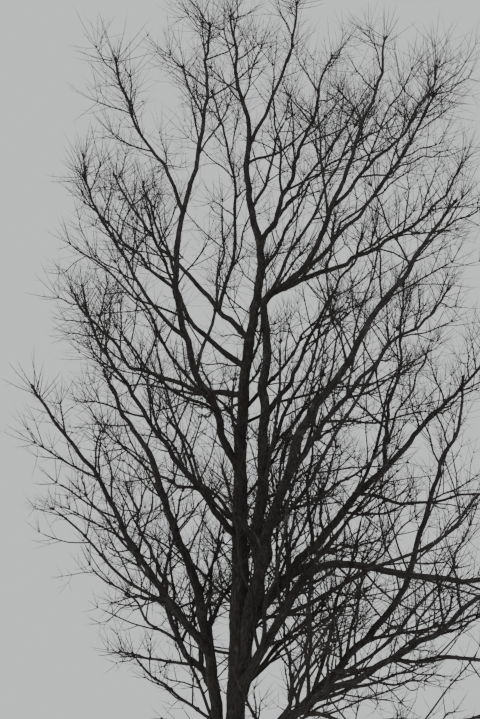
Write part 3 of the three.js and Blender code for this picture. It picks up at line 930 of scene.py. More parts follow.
def repeated(vertices, faces):
    """The same faces for each of many copies of a shape. vertices is (copies, corners, 3)."""
    copies, corners = vertices.shape[:2]
    loops = np.array([corner for face in faces for corner in face])
    totals = np.array([len(face) for face in faces])
    offsets = np.arange(copies)[:, None] * corners
    return vertices.reshape(-1, 3), (loops + offsets).ravel(), np.tile(totals, copies)


def rings_round(centres, headings, sides_of, radii, sides):
    """Rings of corners round some centres, and the direction that each starts from."""
    side = unit(sides_of - headings * (sides_of * headings).sum(-1, keepdims=True))
    over = np.cross(headings, side)
    turns = np.arange(sides) * 2 * math.pi / sides
    spokes = side[:, None] * np.cos(turns)[:, None] + over[:, None] * np.sin(turns)[:, None]
    return centres[:, None] + radii[:, None, None] * spokes, side


def tubes(canes, sides):
    """A pointed tube along each cane, closed at its foot."""
    headings = unit(np.gradient(canes.stations, axis=1))
    side, _ = square_to(headings[:, 0])
    rings = []
    last = canes.stations.shape[1] - 1
    for i in range(last):
        ring, side = rings_round(canes.stations[:, i], headings[:, i], side, canes.radii[:, i], sides)
        rings.append(ring)
    vertices = np.concatenate([*rings, canes.stations[:, last:]], axis=1)
    faces = [tuple(reversed(range(sides)))]
    for j in range(sides):
        across = (j + 1) % sides
        for i in range(last - 1):
            low, high = i * sides, (i + 1) * sides
            faces.append((low + j, low + across, high + across, high + j))
        faces.append(((last - 1) * sides + j, (last - 1) * sides + across, last * sides))
    return repeated(vertices, faces)


def spindles(centres, headings, halves, radii, sides):
    """A bead with a point at each end at every centre, such as a knob or a bud."""
    side, _ = square_to(headings)
    ring, _ = rings_round(centres, headings, side, radii, sides)
    reach = (headings * halves[:, None])[:, None]
    vertices = np.concatenate([ring, centres[:, None] - reach, centres[:, None] + reach], axis=1)
    faces = []
    for j in range(sides):
        across = (j + 1) % sides
        faces.append((j, across, sides + 1))
        faces.append((across, j, sides))
    return repeated(vertices, faces)


# Corners round each kind of cane and knob
SPUR_SIDES = 4
TWIG_SIDES = 3
STEM_KNOB_SIDES = 7
BRANCH_KNOB_SIDES = 5
SHOOT_KNOB_SIDES = 4

KNOB_SWELL = 1.7
KNOB_LENGTH = 3.5


def knobs_on(canes, shares, sides):
    """Swollen nodes on canes at each of some shares of their length."""
    shapes = []
    for share in shares:
        point, heading, radius = canes.at(share)
        shapes.append(spindles(point, heading, KNOB_LENGTH * radius, KNOB_SWELL * radius, sides))
    return shapes


def piece_of(name, shapes, material):
    """Shapes joined into one piece, in place of the solids' twigs."""
    piece = bpy.data.objects.new(name, joined_mesh(name, shapes))
    bpy.context.scene.collection.objects.link(piece)
    mount(piece, material, TWIG_NODES)


def mount(piece, material, nodes):
    """Gives a piece its finish, its place on the tree and the solids that it stands for."""
    piece.data.materials.clear()
    piece.data.materials.append(material)
    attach(piece, "root")
    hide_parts(*nodes)


TWIG_NODES = [name for name in frame["nodes"] if name.startswith("twigs_")]
LIMB_NODES = [name for name in frame["nodes"] if not name.startswith("twigs_")]


# Limbs, modelled as bars


CUT_ROUNDS = 2
RING_CROWDING = 0.7  # rings lie closer together at the foot than at the tip
LIMB_PLACES = 1200


class DrawnLimb(NamedTuple):
    """A limb as it is modelled: places, headings and radii along it, and how far along it ends.

    The headings are those of its smooth line, so that rings never cross at a crook."""

    name: str
    points: np.ndarray
    headings: np.ndarray
    radii: np.ndarray
    length: float


def limbs_to_model():
    """Every limb from foot to knob, with one that goes on from its parent's tip run into it."""
    grown = limbs()
    onward = {limb.parent.name: limb for name, limb in grown.items()
              if limb.parent and BOUGHS[name].height is None}
    modelled = []
    for name, limb in grown.items():
        if limb in onward.values():
            continue
        stations, radii, carrier = limb.path.points, limb.radii, onward.get(name, limb)
        if carrier is not limb:
            stations = np.vstack((stations, carrier.path.points[1:]))
            radii = np.concatenate((radii, carrier.radii[1:]))
        points, along, radii = smooth_limb(Path(stations), radii, LIMB_PLACES)
        headings = unit(np.gradient(points, axis=0))
        first = along[nearest_station(points, limb.path.points[-1])]
        before = along <= first
        points[before] += crooks(name, along[before], first, radii[before])
        points[~before] += crooks(carrier.name, along[~before] - first, along[-1] - first, radii[~before])
        along = Path(points).along
        stem = along[-1] - along[nearest_station(points, carrier.stem_foot)]
        modelled.append(DrawnLimb(name, points, headings, radii, along[-1] - (1 - STEM_KNOB) * stem))
    return modelled


def select_only(piece):
    bpy.ops.object.select_all(action="DESELECT")
    piece.select_set(True)
    bpy.context.view_layer.objects.active = piece


LEVEL_WITHIN = 1e-6  # an edge whose ends differ less in height runs round the bar


def unit_bar(name, sides, rings):
    """A closed bar of radius 1 and length 1 along +Z, cut into at least so many rings."""
    bpy.ops.object.select_all(action="DESELECT")
    bpy.ops.mesh.primitive_cylinder_add(vertices=sides, radius=1, depth=1, location=(0, 0, 0.5))
    bar = bpy.context.object
    bar.name = name
    bpy.ops.object.transform_apply(location=True, rotation=False, scale=False)
    cuts = math.ceil(rings ** (1 / CUT_ROUNDS))
    bpy.ops.object.mode_set(mode="EDIT")
    for _ in range(CUT_ROUNDS):
        bpy.ops.mesh.select_all(action="DESELECT")
        shell = bmesh.from_edit_mesh(bar.data)
        for edge in shell.edges:
            low, high = edge.verts
            edge.select_set(abs(low.co.z - high.co.z) > LEVEL_WITHIN)
        bmesh.update_edit_mesh(bar.data)
        bpy.ops.mesh.subdivide(number_cuts=cuts - 1)
    bpy.ops.object.mode_set(mode="OBJECT")
    return bar, cuts**CUT_ROUNDS


def corners_of(mesh):
    corners = np.empty(len(mesh.vertices) * 3, np.float32)
    mesh.vertices.foreach_get("co", corners)
    return corners.reshape(-1, 3).astype(float)


def set_corners(mesh, corners):
    mesh.vertices.foreach_set("co", corners.astype(np.float32).ravel())
    mesh.update()


def raise_relief(bar, texture, stretch, share, offset):
    """Raises a texture's relief on a bar, drawn out along the bar, and applies it."""
    bpy.ops.object.empty_add(location=offset)
    guide = bpy.context.object
    guide.scale = (1, 1, stretch)
    select_only(bar)
    relief = bar.modifiers.new("relief", "DISPLACE")
    relief.texture = texture
    relief.texture_coords = "OBJECT"
    relief.texture_coords_object = guide
    relief.strength = share
    relief.mid_level = 0.5
    bpy.ops.object.modifier_apply(modifier=relief.name)
    select_only(guide)
    bpy.ops.object.delete()


FURROW_SCALE = 0.3
LUMP_SCALE = 1.1


def relief_texture(name, kind, scale):
    texture = bpy.data.textures.new(name, kind)
    texture.noise_scale = scale
    return texture


def root_swell(heights, turns):
    """How much the root flare adds to the trunk's radius, as a share of it."""
    ridges = np.full(len(turns), FLARE_ALL_ROUND)
    for root in ROOTS:
        away = np.cos(turns - math.radians(root.turn)) - 1
        ridges += root.share * np.exp(away / (1 - math.cos(math.radians(root.width))))
    return np.exp(-heights / FLARE_FADE) * ridges


def bend_along(corners, points, headings, rings):
    """Carries a straight bar's corners onto a limb's middle line, with its rings square to the line.

    The trunk's are level up to LEVEL_HEIGHT, and square to its line from twice that height."""
    level = points[0, 2] == 0
    if level:
        risen = np.clip((points[:, 2] - LEVEL_HEIGHT) / LEVEL_HEIGHT, 0, 1)[:, None]
        headings = unit(UP * (1 - risen) + headings * risen)
    side = ACROSS if level else square_to(headings[0])[0]
    sides = []
    for heading in headings:
        side = side - heading * (side @ heading)
        side = side / np.linalg.norm(side)
        sides.append(side)
    sides = np.array(sides)
    overs = np.cross(headings, sides)
    return points[rings] + corners[:, :1] * sides[rings] + corners[:, 1:2] * overs[rings]


BARK_PLACE = "bark_place"
TEXTURE_SPAN = 40  # how far apart the places may lie that limbs take their relief from


def limb_bar(limb, settings, furrows, lumps):
    """One limb as a closed bar: cut into rings, given its relief, tapered and bent along its line."""
    is_trunk = limb.name == "trunk"
    sides = settings.trunk_sides if is_trunk else settings.bough_sides
    spacing = settings.ring_spacing if is_trunk else settings.bough_ring_spacing
    bar, steps = unit_bar(f"limb_{limb.name}", sides, limb.length / spacing)
    even = np.linspace(0, 1, steps + 1)
    distances = limb.length * (RING_CROWDING * even + (1 - RING_CROWDING) * even**2)
    along = Path(limb.points).along
    points, headings = (values_at(distances, along, rows) for rows in (limb.points, limb.headings))
    radii = np.interp(distances, along, limb.radii)
    corners = corners_of(bar.data)
    rings = np.rint(corners[:, 2] * steps).astype(int)
    rolled = np.concatenate(([0.0], np.cumsum(np.diff(distances) / (radii[1:] + radii[:-1]) * 2)))
    corners[:, 2] = rolled[rings]
    set_corners(bar.data, corners)
    random = Seeded(key_of(f"bark_{limb.name}"))
    for texture, stretch, share in (
        (lumps, settings.lump_stretch, settings.lump_share),
        (furrows, settings.furrow_stretch, settings.furrow_share),
    ):
        raise_relief(bar, texture, stretch, share, [TEXTURE_SPAN * random() for _ in range(3)])
    corners = corners_of(bar.data)
    turns = np.arctan2(corners[:, 1], corners[:, 0])
    corners[:, :2] *= radii[rings, None]
    if is_trunk:
        corners[:, :2] *= 1 + root_swell(points[rings, 2], turns)[:, None]
    corners[:, 2] = distances[rings]
    place = bar.data.attributes.new(BARK_PLACE, "FLOAT_VECTOR", "POINT")
    place.data.foreach_set("vector", corners.astype(np.float32).ravel())
    set_corners(bar.data, bend_along(corners, points, unit(headings), rings))
    return bar


BOUGH_STEPS = 200
PARENT_STEPS = 800


def crotches():
    """Where each bough comes out of its parent, and the bough's radius there."""
    places = []
    for limb in limbs().values():
        if limb.parent is None or BOUGHS[limb.name].height is None:
            continue
        drawn, radii = drawn_limb(limb, BOUGH_STEPS)
        parent, thick = drawn_limb(limb.parent, PARENT_STEPS)
        gaps = np.linalg.norm(drawn[:, None] - parent[None], axis=2)
        nearest = gaps.argmin(axis=1)
        outside = gaps.min(axis=1) > thick[nearest]
        first = int(np.argmax(outside))
        places.append((drawn[first], radii[first]))
    return places


def fuse_limbs(bars):
    """One solid of all the bars, eased where they meet."""
    trunk, *others = bars
    boughs = bpy.data.collections.new("boughs to join")
    for bar in others:
        boughs.objects.link(bar)
    select_only(trunk)
    union = trunk.modifiers.new("join", "BOOLEAN")
    union.operation = "UNION"
    union.operand_type = "COLLECTION"
    union.collection = boughs
    union.solver = "MANIFOLD"
    bpy.ops.object.modifier_apply(modifier=union.name)
    for bar in others:
        bpy.data.objects.remove(bar)
    bpy.data.collections.remove(boughs)
    ease_crotches(trunk)
    return trunk


EASE_REACH = 1.9
EASE_ROUNDS = 7
EASE_EACH = 0.5


def ease_crotches(piece):
    """Smooths the bark where one limb leaves another."""
    corners = corners_of(piece.data)
    near = np.zeros(len(corners), bool)
    for place, radius in crotches():
        near |= np.linalg.norm(corners - place, axis=1) < EASE_REACH * radius
    select_only(piece)
    bpy.ops.object.mode_set(mode="EDIT")
    bpy.ops.mesh.select_mode(type="VERT")
    bpy.ops.mesh.select_all(action="DESELECT")
    bpy.ops.object.mode_set(mode="OBJECT")
    piece.data.vertices.foreach_set("select", near)
    bpy.ops.object.mode_set(mode="EDIT")
    bpy.ops.mesh.vertices_smooth(factor=EASE_EACH, repeat=EASE_ROUNDS)
    bpy.ops.object.mode_set(mode="OBJECT")


# Finishes


class BarkScale(NamedTuple):
    """How fine a bark's furrows are, their depth in metres, and how far they wander.

    The smaller stretch is, the further they are drawn out along the limb."""

    fineness: float
    depth: float
    stretch: float
    wander: float


LIMB_BARK = BarkScale(46.0, 0.012, 0.12, 0.05)
BRANCH_BARK = BarkScale(90.0, 0.002, 1.0, 0.01)
TWIG_BARK = BarkScale(160.0, 0.0006, 1.0, 0.004)
BRANCH_FURROWS = (0.02, 0.018, 0.016, 1)
BRANCH_BLOOM = (0.14, 0.14, 0.125, 1)
TWIG_FURROWS = (0.03, 0.024, 0.02, 1)
TWIG_BLOOM = (0.12, 0.11, 0.1, 1)
BUD_BLOOM = (0.16, 0.1, 0.07, 1)
LEAF_BLOOM = (0.16, 0.11, 0.07, 1)
DAMP_COLOUR = (0.012, 0.011, 0.010, 1)
VECTORS = "VectorMath"


def new_group(name, inputs, outputs):
    """A shader node group with named sockets: each one's name, kind and, going in, its default."""
    group = bpy.data.node_groups.new(name, "ShaderNodeTree")
    for label, kind, default in inputs:
        socket = group.interface.new_socket(label, in_out="INPUT", socket_type=f"NodeSocket{kind}")
        if default is not None:
            socket.default_value = default
    for label, kind in outputs:
        group.interface.new_socket(label, in_out="OUTPUT", socket_type=f"NodeSocket{kind}")
    start = group.nodes.new("NodeGroupInput")
    end = group.nodes.new("NodeGroupOutput")
    return group, start.outputs, end.inputs


def feed(tree, socket, source):
    """Links a socket to another, or sets it to a number or colour."""
    if isinstance(source, bpy.types.NodeSocket):
        tree.links.new(source, socket)
    else:
        socket.default_value = source


def add_node(tree, kind, inputs=(), **values):
    """A node with its settings, and what goes into its inputs."""
    node = tree.nodes.new(f"ShaderNode{kind}")
    for name, value in values.items():
        setattr(node, name, value)
    for socket, source in dict(inputs).items():
        feed(tree, node.inputs[socket], source)
    return node


def colour_mix(tree, factor, first, second):
    """A colour between two others."""
    return add_node(tree, "Mix", {0: factor, 6: first, 7: second}, data_type="RGBA").outputs[2]


def combined(tree, operation, first, second, kind="Math"):
    """What an operation makes of two numbers or vectors."""
    return add_node(tree, kind, {0: first, 1: second}, operation=operation).outputs[0]


def mapped(tree, value, limits):
    """A value carried from one range to another. A limit that isn't given is 0 or 1."""
    return add_node(tree, "MapRange", {"Value": value, **limits}).outputs[0]


def noise(tree, place, scale, **inputs):
    """A noise texture."""
    return add_node(tree, "TexNoise", {"Vector": place, "Scale": scale, **inputs}).outputs


def patches(tree, texture, first, full, most):
    """Patches that start at one value of a texture and are full at another, up to the most."""
    where = mapped(tree, texture["Fac"], {"From Min": first, "From Max": full})
    return combined(tree, "MULTIPLY", where, most)


@functools.cache
def furrowed_bark():
    """Ridges and furrows drawn out along the limb, with fine grain across them."""
    group, start, end = new_group(
        "Furrowed bark",
        (
            ("Place", "Vector", None),
            ("Ridge colour", "Color", (0.1, 0.09, 0.08, 1)),
            ("Furrow colour", "Color", (0.02, 0.018, 0.016, 1)),
            ("Fineness", "Float", 40.0),
            ("Stretch", "Float", 0.2),
            ("Wander", "Float", 0.05),
        ),
        (("Color", "Color"), ("Roughness", "Float"), ("Height", "Float")),
    )
    bends = noise(group, start["Place"], 16.0, Detail=3.0)
    centred = combined(group, "SUBTRACT", bends["Color"], (0.5, 0.5, 0.5), VECTORS)
    strayed = add_node(group, VECTORS, {0: centred, "Scale": start["Wander"]}, operation="SCALE")
    wandering = combined(group, "ADD", start["Place"], strayed.outputs[0], VECTORS)
    along = add_node(group, "CombineXYZ", {0: 1.0, 1: 1.0, 2: start["Stretch"]})
    drawn = combined(group, "MULTIPLY", wandering, along.outputs[0], VECTORS)
    ridges = noise(group, drawn, start["Fineness"], Detail=5.0, Distortion=0.6)
    cracks = add_node(
        group, "TexVoronoi", {"Vector": drawn, "Scale": start["Fineness"]}, feature="DISTANCE_TO_EDGE"
    )
    opened = mapped(group, cracks.outputs["Distance"], {"From Max": 0.3, "To Min": 0.25})
    raised = combined(group, "MULTIPLY", ridges["Fac"], opened)
    grain = noise(group, start["Place"], 420.0)
    height = combined(group, "ADD", raised, combined(group, "MULTIPLY", grain["Fac"], 0.16))
    shown = mapped(group, height, {"From Min": 0.1, "From Max": 0.75})
    feed(group, end["Color"], colour_mix(group, shown, start["Furrow colour"], start["Ridge colour"]))
    feed(group, end["Roughness"], mapped(group, height, {"To Min": 0.98, "To Max": 0.8}))
    feed(group, end["Height"], height)
    return group


@functools.cache
def weathering():
    """Pale bloom in patches, and darker damp stretches, over any bark colour."""
    group, start, end = new_group(
        "Weathering",
        (
            ("Place", "Vector", None),
            ("Color", "Color", (0.1, 0.1, 0.1, 1)),
            ("Bloom colour", "Color", (0.2, 0.2, 0.18, 1)),
            ("Bloom", "Float", 0.5),
            ("Damp", "Float", 0.5),
        ),
        (("Color", "Color"),),
    )
    clouded = noise(group, start["Place"], 7.0, Detail=6.0, Roughness=0.65)
    bloom = patches(group, clouded, 0.56, 0.7, start["Bloom"])
    bloomed = colour_mix(group, bloom, start["Color"], start["Bloom colour"])
    damp = patches(group, noise(group, start["Place"], 1.3), 0.45, 0.7, start["Damp"])
    feed(group, end["Color"], colour_mix(group, damp, bloomed, DAMP_COLOUR))
    return group


def new_material(name):
    """A material with its surface shader."""
    material = bpy.data.materials.new(name)
    material.use_nodes = True
    tree = material.node_tree
    shader = next(node for node in tree.nodes if node.type == "BSDF_PRINCIPLED")
    return material, tree, shader


def place_on(tree, attribute=None):
    """Where on the piece a point lies, or what an attribute of its mesh gives for that."""
    if attribute:
        return add_node(tree, "Attribute", attribute_name=attribute).outputs["Vector"]
    return add_node(tree, "TexCoord").outputs["Object"]


def weathered(tree, place, colour, bloom_colour, bloom, damp):
    """A colour with bloom and damp over it."""
    inputs = {"Place": place, "Color": colour, "Bloom colour": bloom_colour, "Bloom": bloom, "Damp": damp}
    return add_node(tree, "Group", inputs, node_tree=weathering()).outputs["Color"]


def bark_finish(name, ridge, furrow, bloom, scale, attribute=None):
    """Bark with furrows, grain and bloom, placed by the piece itself or by an attribute of its mesh."""
    material, tree, shader = new_material(name)
    place = place_on(tree, attribute)
    inputs = {
        "Place": place, "Ridge colour": ridge, "Furrow colour": furrow, "Fineness": scale.fineness,
        "Stretch": scale.stretch, "Wander": scale.wander,
    }
    bark = add_node(tree, "Group", inputs, node_tree=furrowed_bark()).outputs
    bump = add_node(tree, "Bump", {"Height": bark["Height"], "Distance": scale.depth})
    feed(tree, shader.inputs["Base Color"], weathered(tree, place, bark["Color"], bloom, 0.55, 0.5))
    feed(tree, shader.inputs["Roughness"], bark["Roughness"])
    feed(tree, shader.inputs["Normal"], bump.outputs["Normal"])
    feed(tree, shader.inputs["Specular IOR Level"], 0.25)
    return material


def smooth_finish(name, colour, bloom, damp, roughness):
    """A weathered colour with no relief, for buds and dead leaves."""
    material, tree, shader = new_material(name)
    feed(tree, shader.inputs["Base Color"], weathered(tree, place_on(tree), colour, bloom, 0.6, damp))
    feed(tree, shader.inputs["Roughness"], roughness)
    return material


# Settings


COLOUR = {"subtype": "COLOR", "size": 4, "min": 0, "max": 1}


class BarkSettings(bpy.types.PropertyGroup):
    """Sizes and colours of the trunk and boughs."""

    trunk_sides: bpy.props.IntProperty(
        name="Trunk sides", description="Faces round the trunk", default=64, min=12
    )
    bough_sides: bpy.props.IntProperty(
        name="Bough sides", description="Faces round each bough", default=14, min=6
    )
    ring_spacing: bpy.props.FloatProperty(
        name="Ring spacing", description="Mean gap between the trunk's rings",
        default=0.025, min=0.01, unit="LENGTH",
    )
    bough_ring_spacing: bpy.props.FloatProperty(
        name="Bough ring spacing", description="Mean gap between a bough's rings",
        default=0.043, min=0.01, unit="LENGTH",
    )
    lump_share: bpy.props.FloatProperty(
        name="Lumps", description="Height of the bark's slow swellings, as a share of the radius",
        default=0.2, min=0,
    )
    lump_stretch: bpy.props.FloatProperty(
        name="Lump stretch", description="How far the swellings are drawn out along a limb",
        default=2.4, min=1,
    )
    furrow_share: bpy.props.FloatProperty(
        name="Furrows", description="Depth of the bark's furrows, as a share of the radius",
        default=0.11, min=0,
    )
    furrow_stretch: bpy.props.FloatProperty(
        name="Furrow stretch", description="How far the furrows are drawn out along a limb",
        default=6.0, min=1,
    )
    ridge_colour: bpy.props.FloatVectorProperty(
        name="Ridge colour", description="Bark on the raised ridges",
        default=(0.074, 0.067, 0.061, 1), **COLOUR,
    )
    furrow_colour: bpy.props.FloatVectorProperty(
        name="Furrow colour", description="Bark deep in the furrows",
        default=(0.010, 0.009, 0.008, 1), **COLOUR,
    )
    bloom_colour: bpy.props.FloatVectorProperty(
        name="Bloom colour", description="Pale patches on old bark",
        default=(0.12, 0.122, 0.11, 1), **COLOUR,
    )


class TwigSettings(bpy.types.PropertyGroup):
    """Sizes and colours of what grows on from the limbs."""

    branch_sides: bpy.props.IntProperty(
        name="Branch sides", description="Faces round each branch", default=7, min=3
    )
    shoot_sides: bpy.props.IntProperty(
        name="Side shoot sides", description="Faces round each side shoot", default=5, min=3
    )
    branch_colour: bpy.props.FloatVectorProperty(
        name="Branch colour", description="Bark of the branches",
        default=(0.052, 0.046, 0.041, 1), **COLOUR,
    )
    twig_colour: bpy.props.FloatVectorProperty(
        name="Twig colour", description="Bark of the finest twigs",
        default=(0.046, 0.036, 0.031, 1), **COLOUR,
    )
    bud_colour: bpy.props.FloatVectorProperty(
        name="Bud colour", description="Scales of the winter buds",
        default=(0.09, 0.045, 0.032, 1), **COLOUR,
    )
    bud_length: bpy.props.FloatProperty(
        name="Bud length", description="Length of a bud at a twig's tip",
        default=0.011, min=0.002, unit="LENGTH",
    )
    leaf_colour: bpy.props.FloatVectorProperty(
        name="Dead leaf colour", description="The few shrivelled leaves that still hang",
        default=(0.085, 0.055, 0.035, 1), **COLOUR,
    )
    leaf_every: bpy.props.IntProperty(
        name="Twigs to a dead leaf", description="One twig in this many still holds a leaf",
        default=34, min=1,
    )
    leaf_length: bpy.props.FloatProperty(
        name="Dead leaf length", description="Length of a shrivelled leaf",
        default=0.045, min=0.01, unit="LENGTH",
    )


class StageSettings(bpy.types.PropertyGroup):
    """The floor, the lights and the camera."""

    floor_colour: bpy.props.FloatVectorProperty(
        name="Floor colour", description="Plain pale floor",
        default=(0.72, 0.72, 0.72, 1), **COLOUR,
    )
    sky_colour: bpy.props.FloatVectorProperty(
        name="Background colour", description="Plain pale background",
        default=(0.72, 0.73, 0.74, 1), **COLOUR,
    )
    sky_strength: bpy.props.FloatProperty(
        name="Background strength", description="Light of the plain background", default=1.0, min=0
    )
    back_light: bpy.props.FloatProperty(
        name="Back light", description="Strength of the soft light behind the tree", default=1.6, min=0
    )
    fill_light: bpy.props.FloatProperty(
        name="Fill light", description="Strength of the soft light beside the camera", default=0.5, min=0
    )
    eye: bpy.props.FloatVectorProperty(
        name="Camera place", description="Where the photographer's eye is", size=3,
        default=(0.05, -12.4, 1.6), subtype="XYZ", unit="LENGTH",
    )
    tilt: bpy.props.FloatProperty(
        name="Camera tilt", description="How far the camera looks up from level",
        default=math.radians(25), subtype="ANGLE",
    )
    view_height: bpy.props.FloatProperty(
        name="Field of view", description="Angle from the picture's foot to its top",
        default=math.radians(40), subtype="ANGLE",
    )


# Pieces


class WINTER_TREE_OT_limbs(bpy.types.Operator):
    """Model the trunk, the boughs and the stems of the sprays, with their bark in relief"""

    bl_idname = "winter_tree.limbs"
    bl_label = "Trunk and Boughs"

    def execute(self, context):
        settings = context.scene.winter_tree_bark
        furrows = relief_texture("furrows", "MUSGRAVE", FURROW_SCALE)
        lumps = relief_texture("lumps", "CLOUDS", LUMP_SCALE)
        bars = [limb_bar(limb, settings, furrows, lumps) for limb in limbs_to_model()]
        piece = fuse_limbs(bars)
        piece.name = "limbs"
        bpy.ops.object.shade_smooth()
        finish = bark_finish(
            "Furrowed bark", settings.ridge_colour, settings.furrow_colour, settings.bloom_colour,
            LIMB_BARK, BARK_PLACE,
        )
        mount(piece, finish, LIMB_NODES)
        return {"FINISHED"}


class WINTER_TREE_OT_branches(bpy.types.Operator):
    """Grow the branches, with a collar at each foot and a knob wherever twigs leave them together"""

    bl_idname = "winter_tree.branches"
    bl_label = "Branches"

    def execute(self, context):
        settings = context.scene.winter_tree_twigs
        tree = grown_tree()
        finish = bark_finish(
            "Branch bark", settings.branch_colour, BRANCH_FURROWS, BRANCH_BLOOM, BRANCH_BARK
        )
        shapes = knobs_on(tree["stems"], (1.0,), STEM_KNOB_SIDES)
        for name in ("branches", "inner_branches"):
            shapes.append(tubes(tree[name], settings.branch_sides))
            shapes += knobs_on(tree[name], (0.0, *TWIGS_BESIDE, 1.0), BRANCH_KNOB_SIDES)
        piece_of("branches", shapes, finish)
        shapes = []
        for name in ("side_branches", "inner_sides"):
            shapes.append(tubes(tree[name], settings.shoot_sides))
            shapes += knobs_on(tree[name], (*SIDE_TWIGS_BESIDE, 1.0), SHOOT_KNOB_SIDES)
        piece_of("side_branches", shapes, finish)
        spurs = tree["spurs"]
        shapes = [tubes(spurs, SPUR_SIDES), *knobs_on(spurs, (1.0,), SHOOT_KNOB_SIDES)]
        piece_of("spurs", shapes, finish)
        return {"FINISHED"}


class WINTER_TREE_OT_twigs(bpy.types.Operator):
    """Grow the fans of fine twigs and the twiglets on them"""

    bl_idname = "winter_tree.twigs"
    bl_label = "Fine Twigs"

    def execute(self, context):
        settings = context.scene.winter_tree_twigs
        tree = grown_tree()
        finish = bark_finish("Twig bark", settings.twig_colour, TWIG_FURROWS, TWIG_BLOOM, TWIG_BARK)
        for label, kinds in (
            ("fan_twigs", ("stem_twigs", "fan_twigs")),
            ("side_twigs", ("side_twigs",)),
            ("knob_twigs", ("knob_twigs",)),
            ("twiglets", [f"{name}_twiglets" for name in TWIGLETS_AT]),
        ):
            piece_of(label, [tubes(tree[kind], TWIG_SIDES) for kind in kinds], finish)
        return {"FINISHED"}


BUD_WIDTH = 0.42  # as a share of its length
BUD_ROUGHNESS = 0.5
BUD_DAMP = 0.3


class WINTER_TREE_OT_buds(bpy.types.Operator):
    """Set a winter bud on the tip of each twig of the fans"""

    bl_idname = "winter_tree.buds"
    bl_label = "Buds"

    def execute(self, context):
        settings = context.scene.winter_tree_twigs
        finish = smooth_finish("Bud scales", settings.bud_colour, BUD_BLOOM, BUD_DAMP, BUD_ROUGHNESS)
        shapes = []
        for name in ("stem_twigs", "fan_twigs", "side_twigs"):
            point, heading, _ = grown_tree()[name].at(1.0)
            half = np.full(len(point), settings.bud_length / 2)
            shapes.append(spindles(point, heading, half, half * BUD_WIDTH, TWIG_SIDES))
        piece_of("buds", shapes, finish)
        return {"FINISHED"}


# Places along a dead leaf and half its width there, as shares of its length
LEAF_OUTLINE = ((0.0, 0.0), (0.35, 0.27), (0.7, 0.22), (1.0, 0.0))
LEAF_THICKNESS = 0.03
LEAF_CURL = 1.9
LEAF_CURL_LEAST = 0.4
LEAF_ARC = 0.6  # how much of its curl a blade shows in the line from its foot
LEAF_FOLD = 0.75
LEAF_ONWARD = 0.3
LEAF_SAG = 0.5
LEAF_LEAST = 0.6
LEAF_SPREAD = 0.6
LEAF_PLACE = 0.8
LEAF_ROUGHNESS = 0.8
LEAF_DAMP = 0.5


def shrivelled_leaves(feet, headings, keys, length):
    """Folded, curled blades that hang from their feet. Each is closed, with six faces a side."""
    random = Seeded(keys)
    down = UP * (LEAF_SAG + random()[:, None])
    sag = unit(headings * LEAF_ONWARD - down + (random()[:, None] - 0.5) * ACROSS)
    side, over = square_to(sag)
    turn = (2 * math.pi * random())[:, None]
    side, over = side * np.cos(turn) + over * np.sin(turn), over * np.cos(turn) - side * np.sin(turn)
    size = (length * (LEAF_LEAST + LEAF_SPREAD * random()))[:, None]
    curl = (LEAF_CURL * (LEAF_CURL_LEAST + random()))[:, None]
    rows = []
    for u, width in LEAF_OUTLINE:
        bend = curl * u
        middle = feet + size * u * (sag * np.cos(bend * LEAF_ARC) + over * np.sin(bend * LEAF_ARC))
        out = size * width
        edge = over * LEAF_FOLD * out
        back = middle - over * size * LEAF_THICKNESS
        rows.append((middle, middle + side * out + edge, middle - side * out + edge, back))
    foot, (m1, l1, r1, b1), (m2, l2, r2, b2), tip = rows[0][0], rows[1], rows[2], rows[3][0]
    vertices = np.stack((foot, m1, l1, r1, b1, m2, l2, r2, b2, tip), axis=1)
    top = [(0, 1, 2), (0, 3, 1), (1, 5, 6, 2), (3, 7, 5, 1), (5, 9, 6), (7, 9, 5)]
    under = [(0, 2, 4), (0, 4, 3), (2, 6, 8, 4), (4, 8, 7, 3), (6, 9, 8), (8, 9, 7)]
    return repeated(vertices, top + under)


class WINTER_TREE_OT_dead_leaves(bpy.types.Operator):
    """Hang the few shrivelled leaves that stayed on the tree"""

    bl_idname = "winter_tree.dead_leaves"
    bl_label = "Dead Leaves"

    def execute(self, context):
        settings = context.scene.winter_tree_twigs
        finish = smooth_finish("Dead leaf", settings.leaf_colour, LEAF_BLOOM, LEAF_DAMP, LEAF_ROUGHNESS)
        canes = grown_tree()["knob_twigs"]
        held = np.flatnonzero(canes.keys % settings.leaf_every == 0)
        point, heading, _ = canes.at(LEAF_PLACE)
        shape = shrivelled_leaves(point[held], heading[held], canes.keys[held], settings.leaf_length)
        piece_of("dead_leaves", [shape], finish)
        return {"FINISHED"}


SENSOR_SIZE = 36.0
FARTHEST_SEEN = 500
FLOOR_RADIUS = 60.0
FLOOR_CORNERS = 96
FLOOR_ROUGHNESS = 0.9
LIGHTS_ABOVE = 1.5  # times the tree's height, though only their direction counts
# Azimuth, elevation and softness in degrees
BACK_LIGHT = (12, 32, 30)
FILL_LIGHT = (215, 40, 60)


def add_sun(name, strength, azimuth, elevation, softness):
    """A soft light from a direction, with azimuth turned from +Y towards +X."""
    bpy.ops.object.light_add(type="SUN", location=(0, 0, CAD_HEIGHT * LIGHTS_ABOVE))
    light = bpy.context.object
    light.name = name
    light.data.energy = strength
    light.data.angle = math.radians(softness)
    a, e = math.radians(azimuth), math.radians(elevation)
    towards = Vector((math.sin(a) * math.cos(e), math.cos(a) * math.cos(e), math.sin(e)))
    light.rotation_euler = towards.to_track_quat("Z", "Y").to_euler()


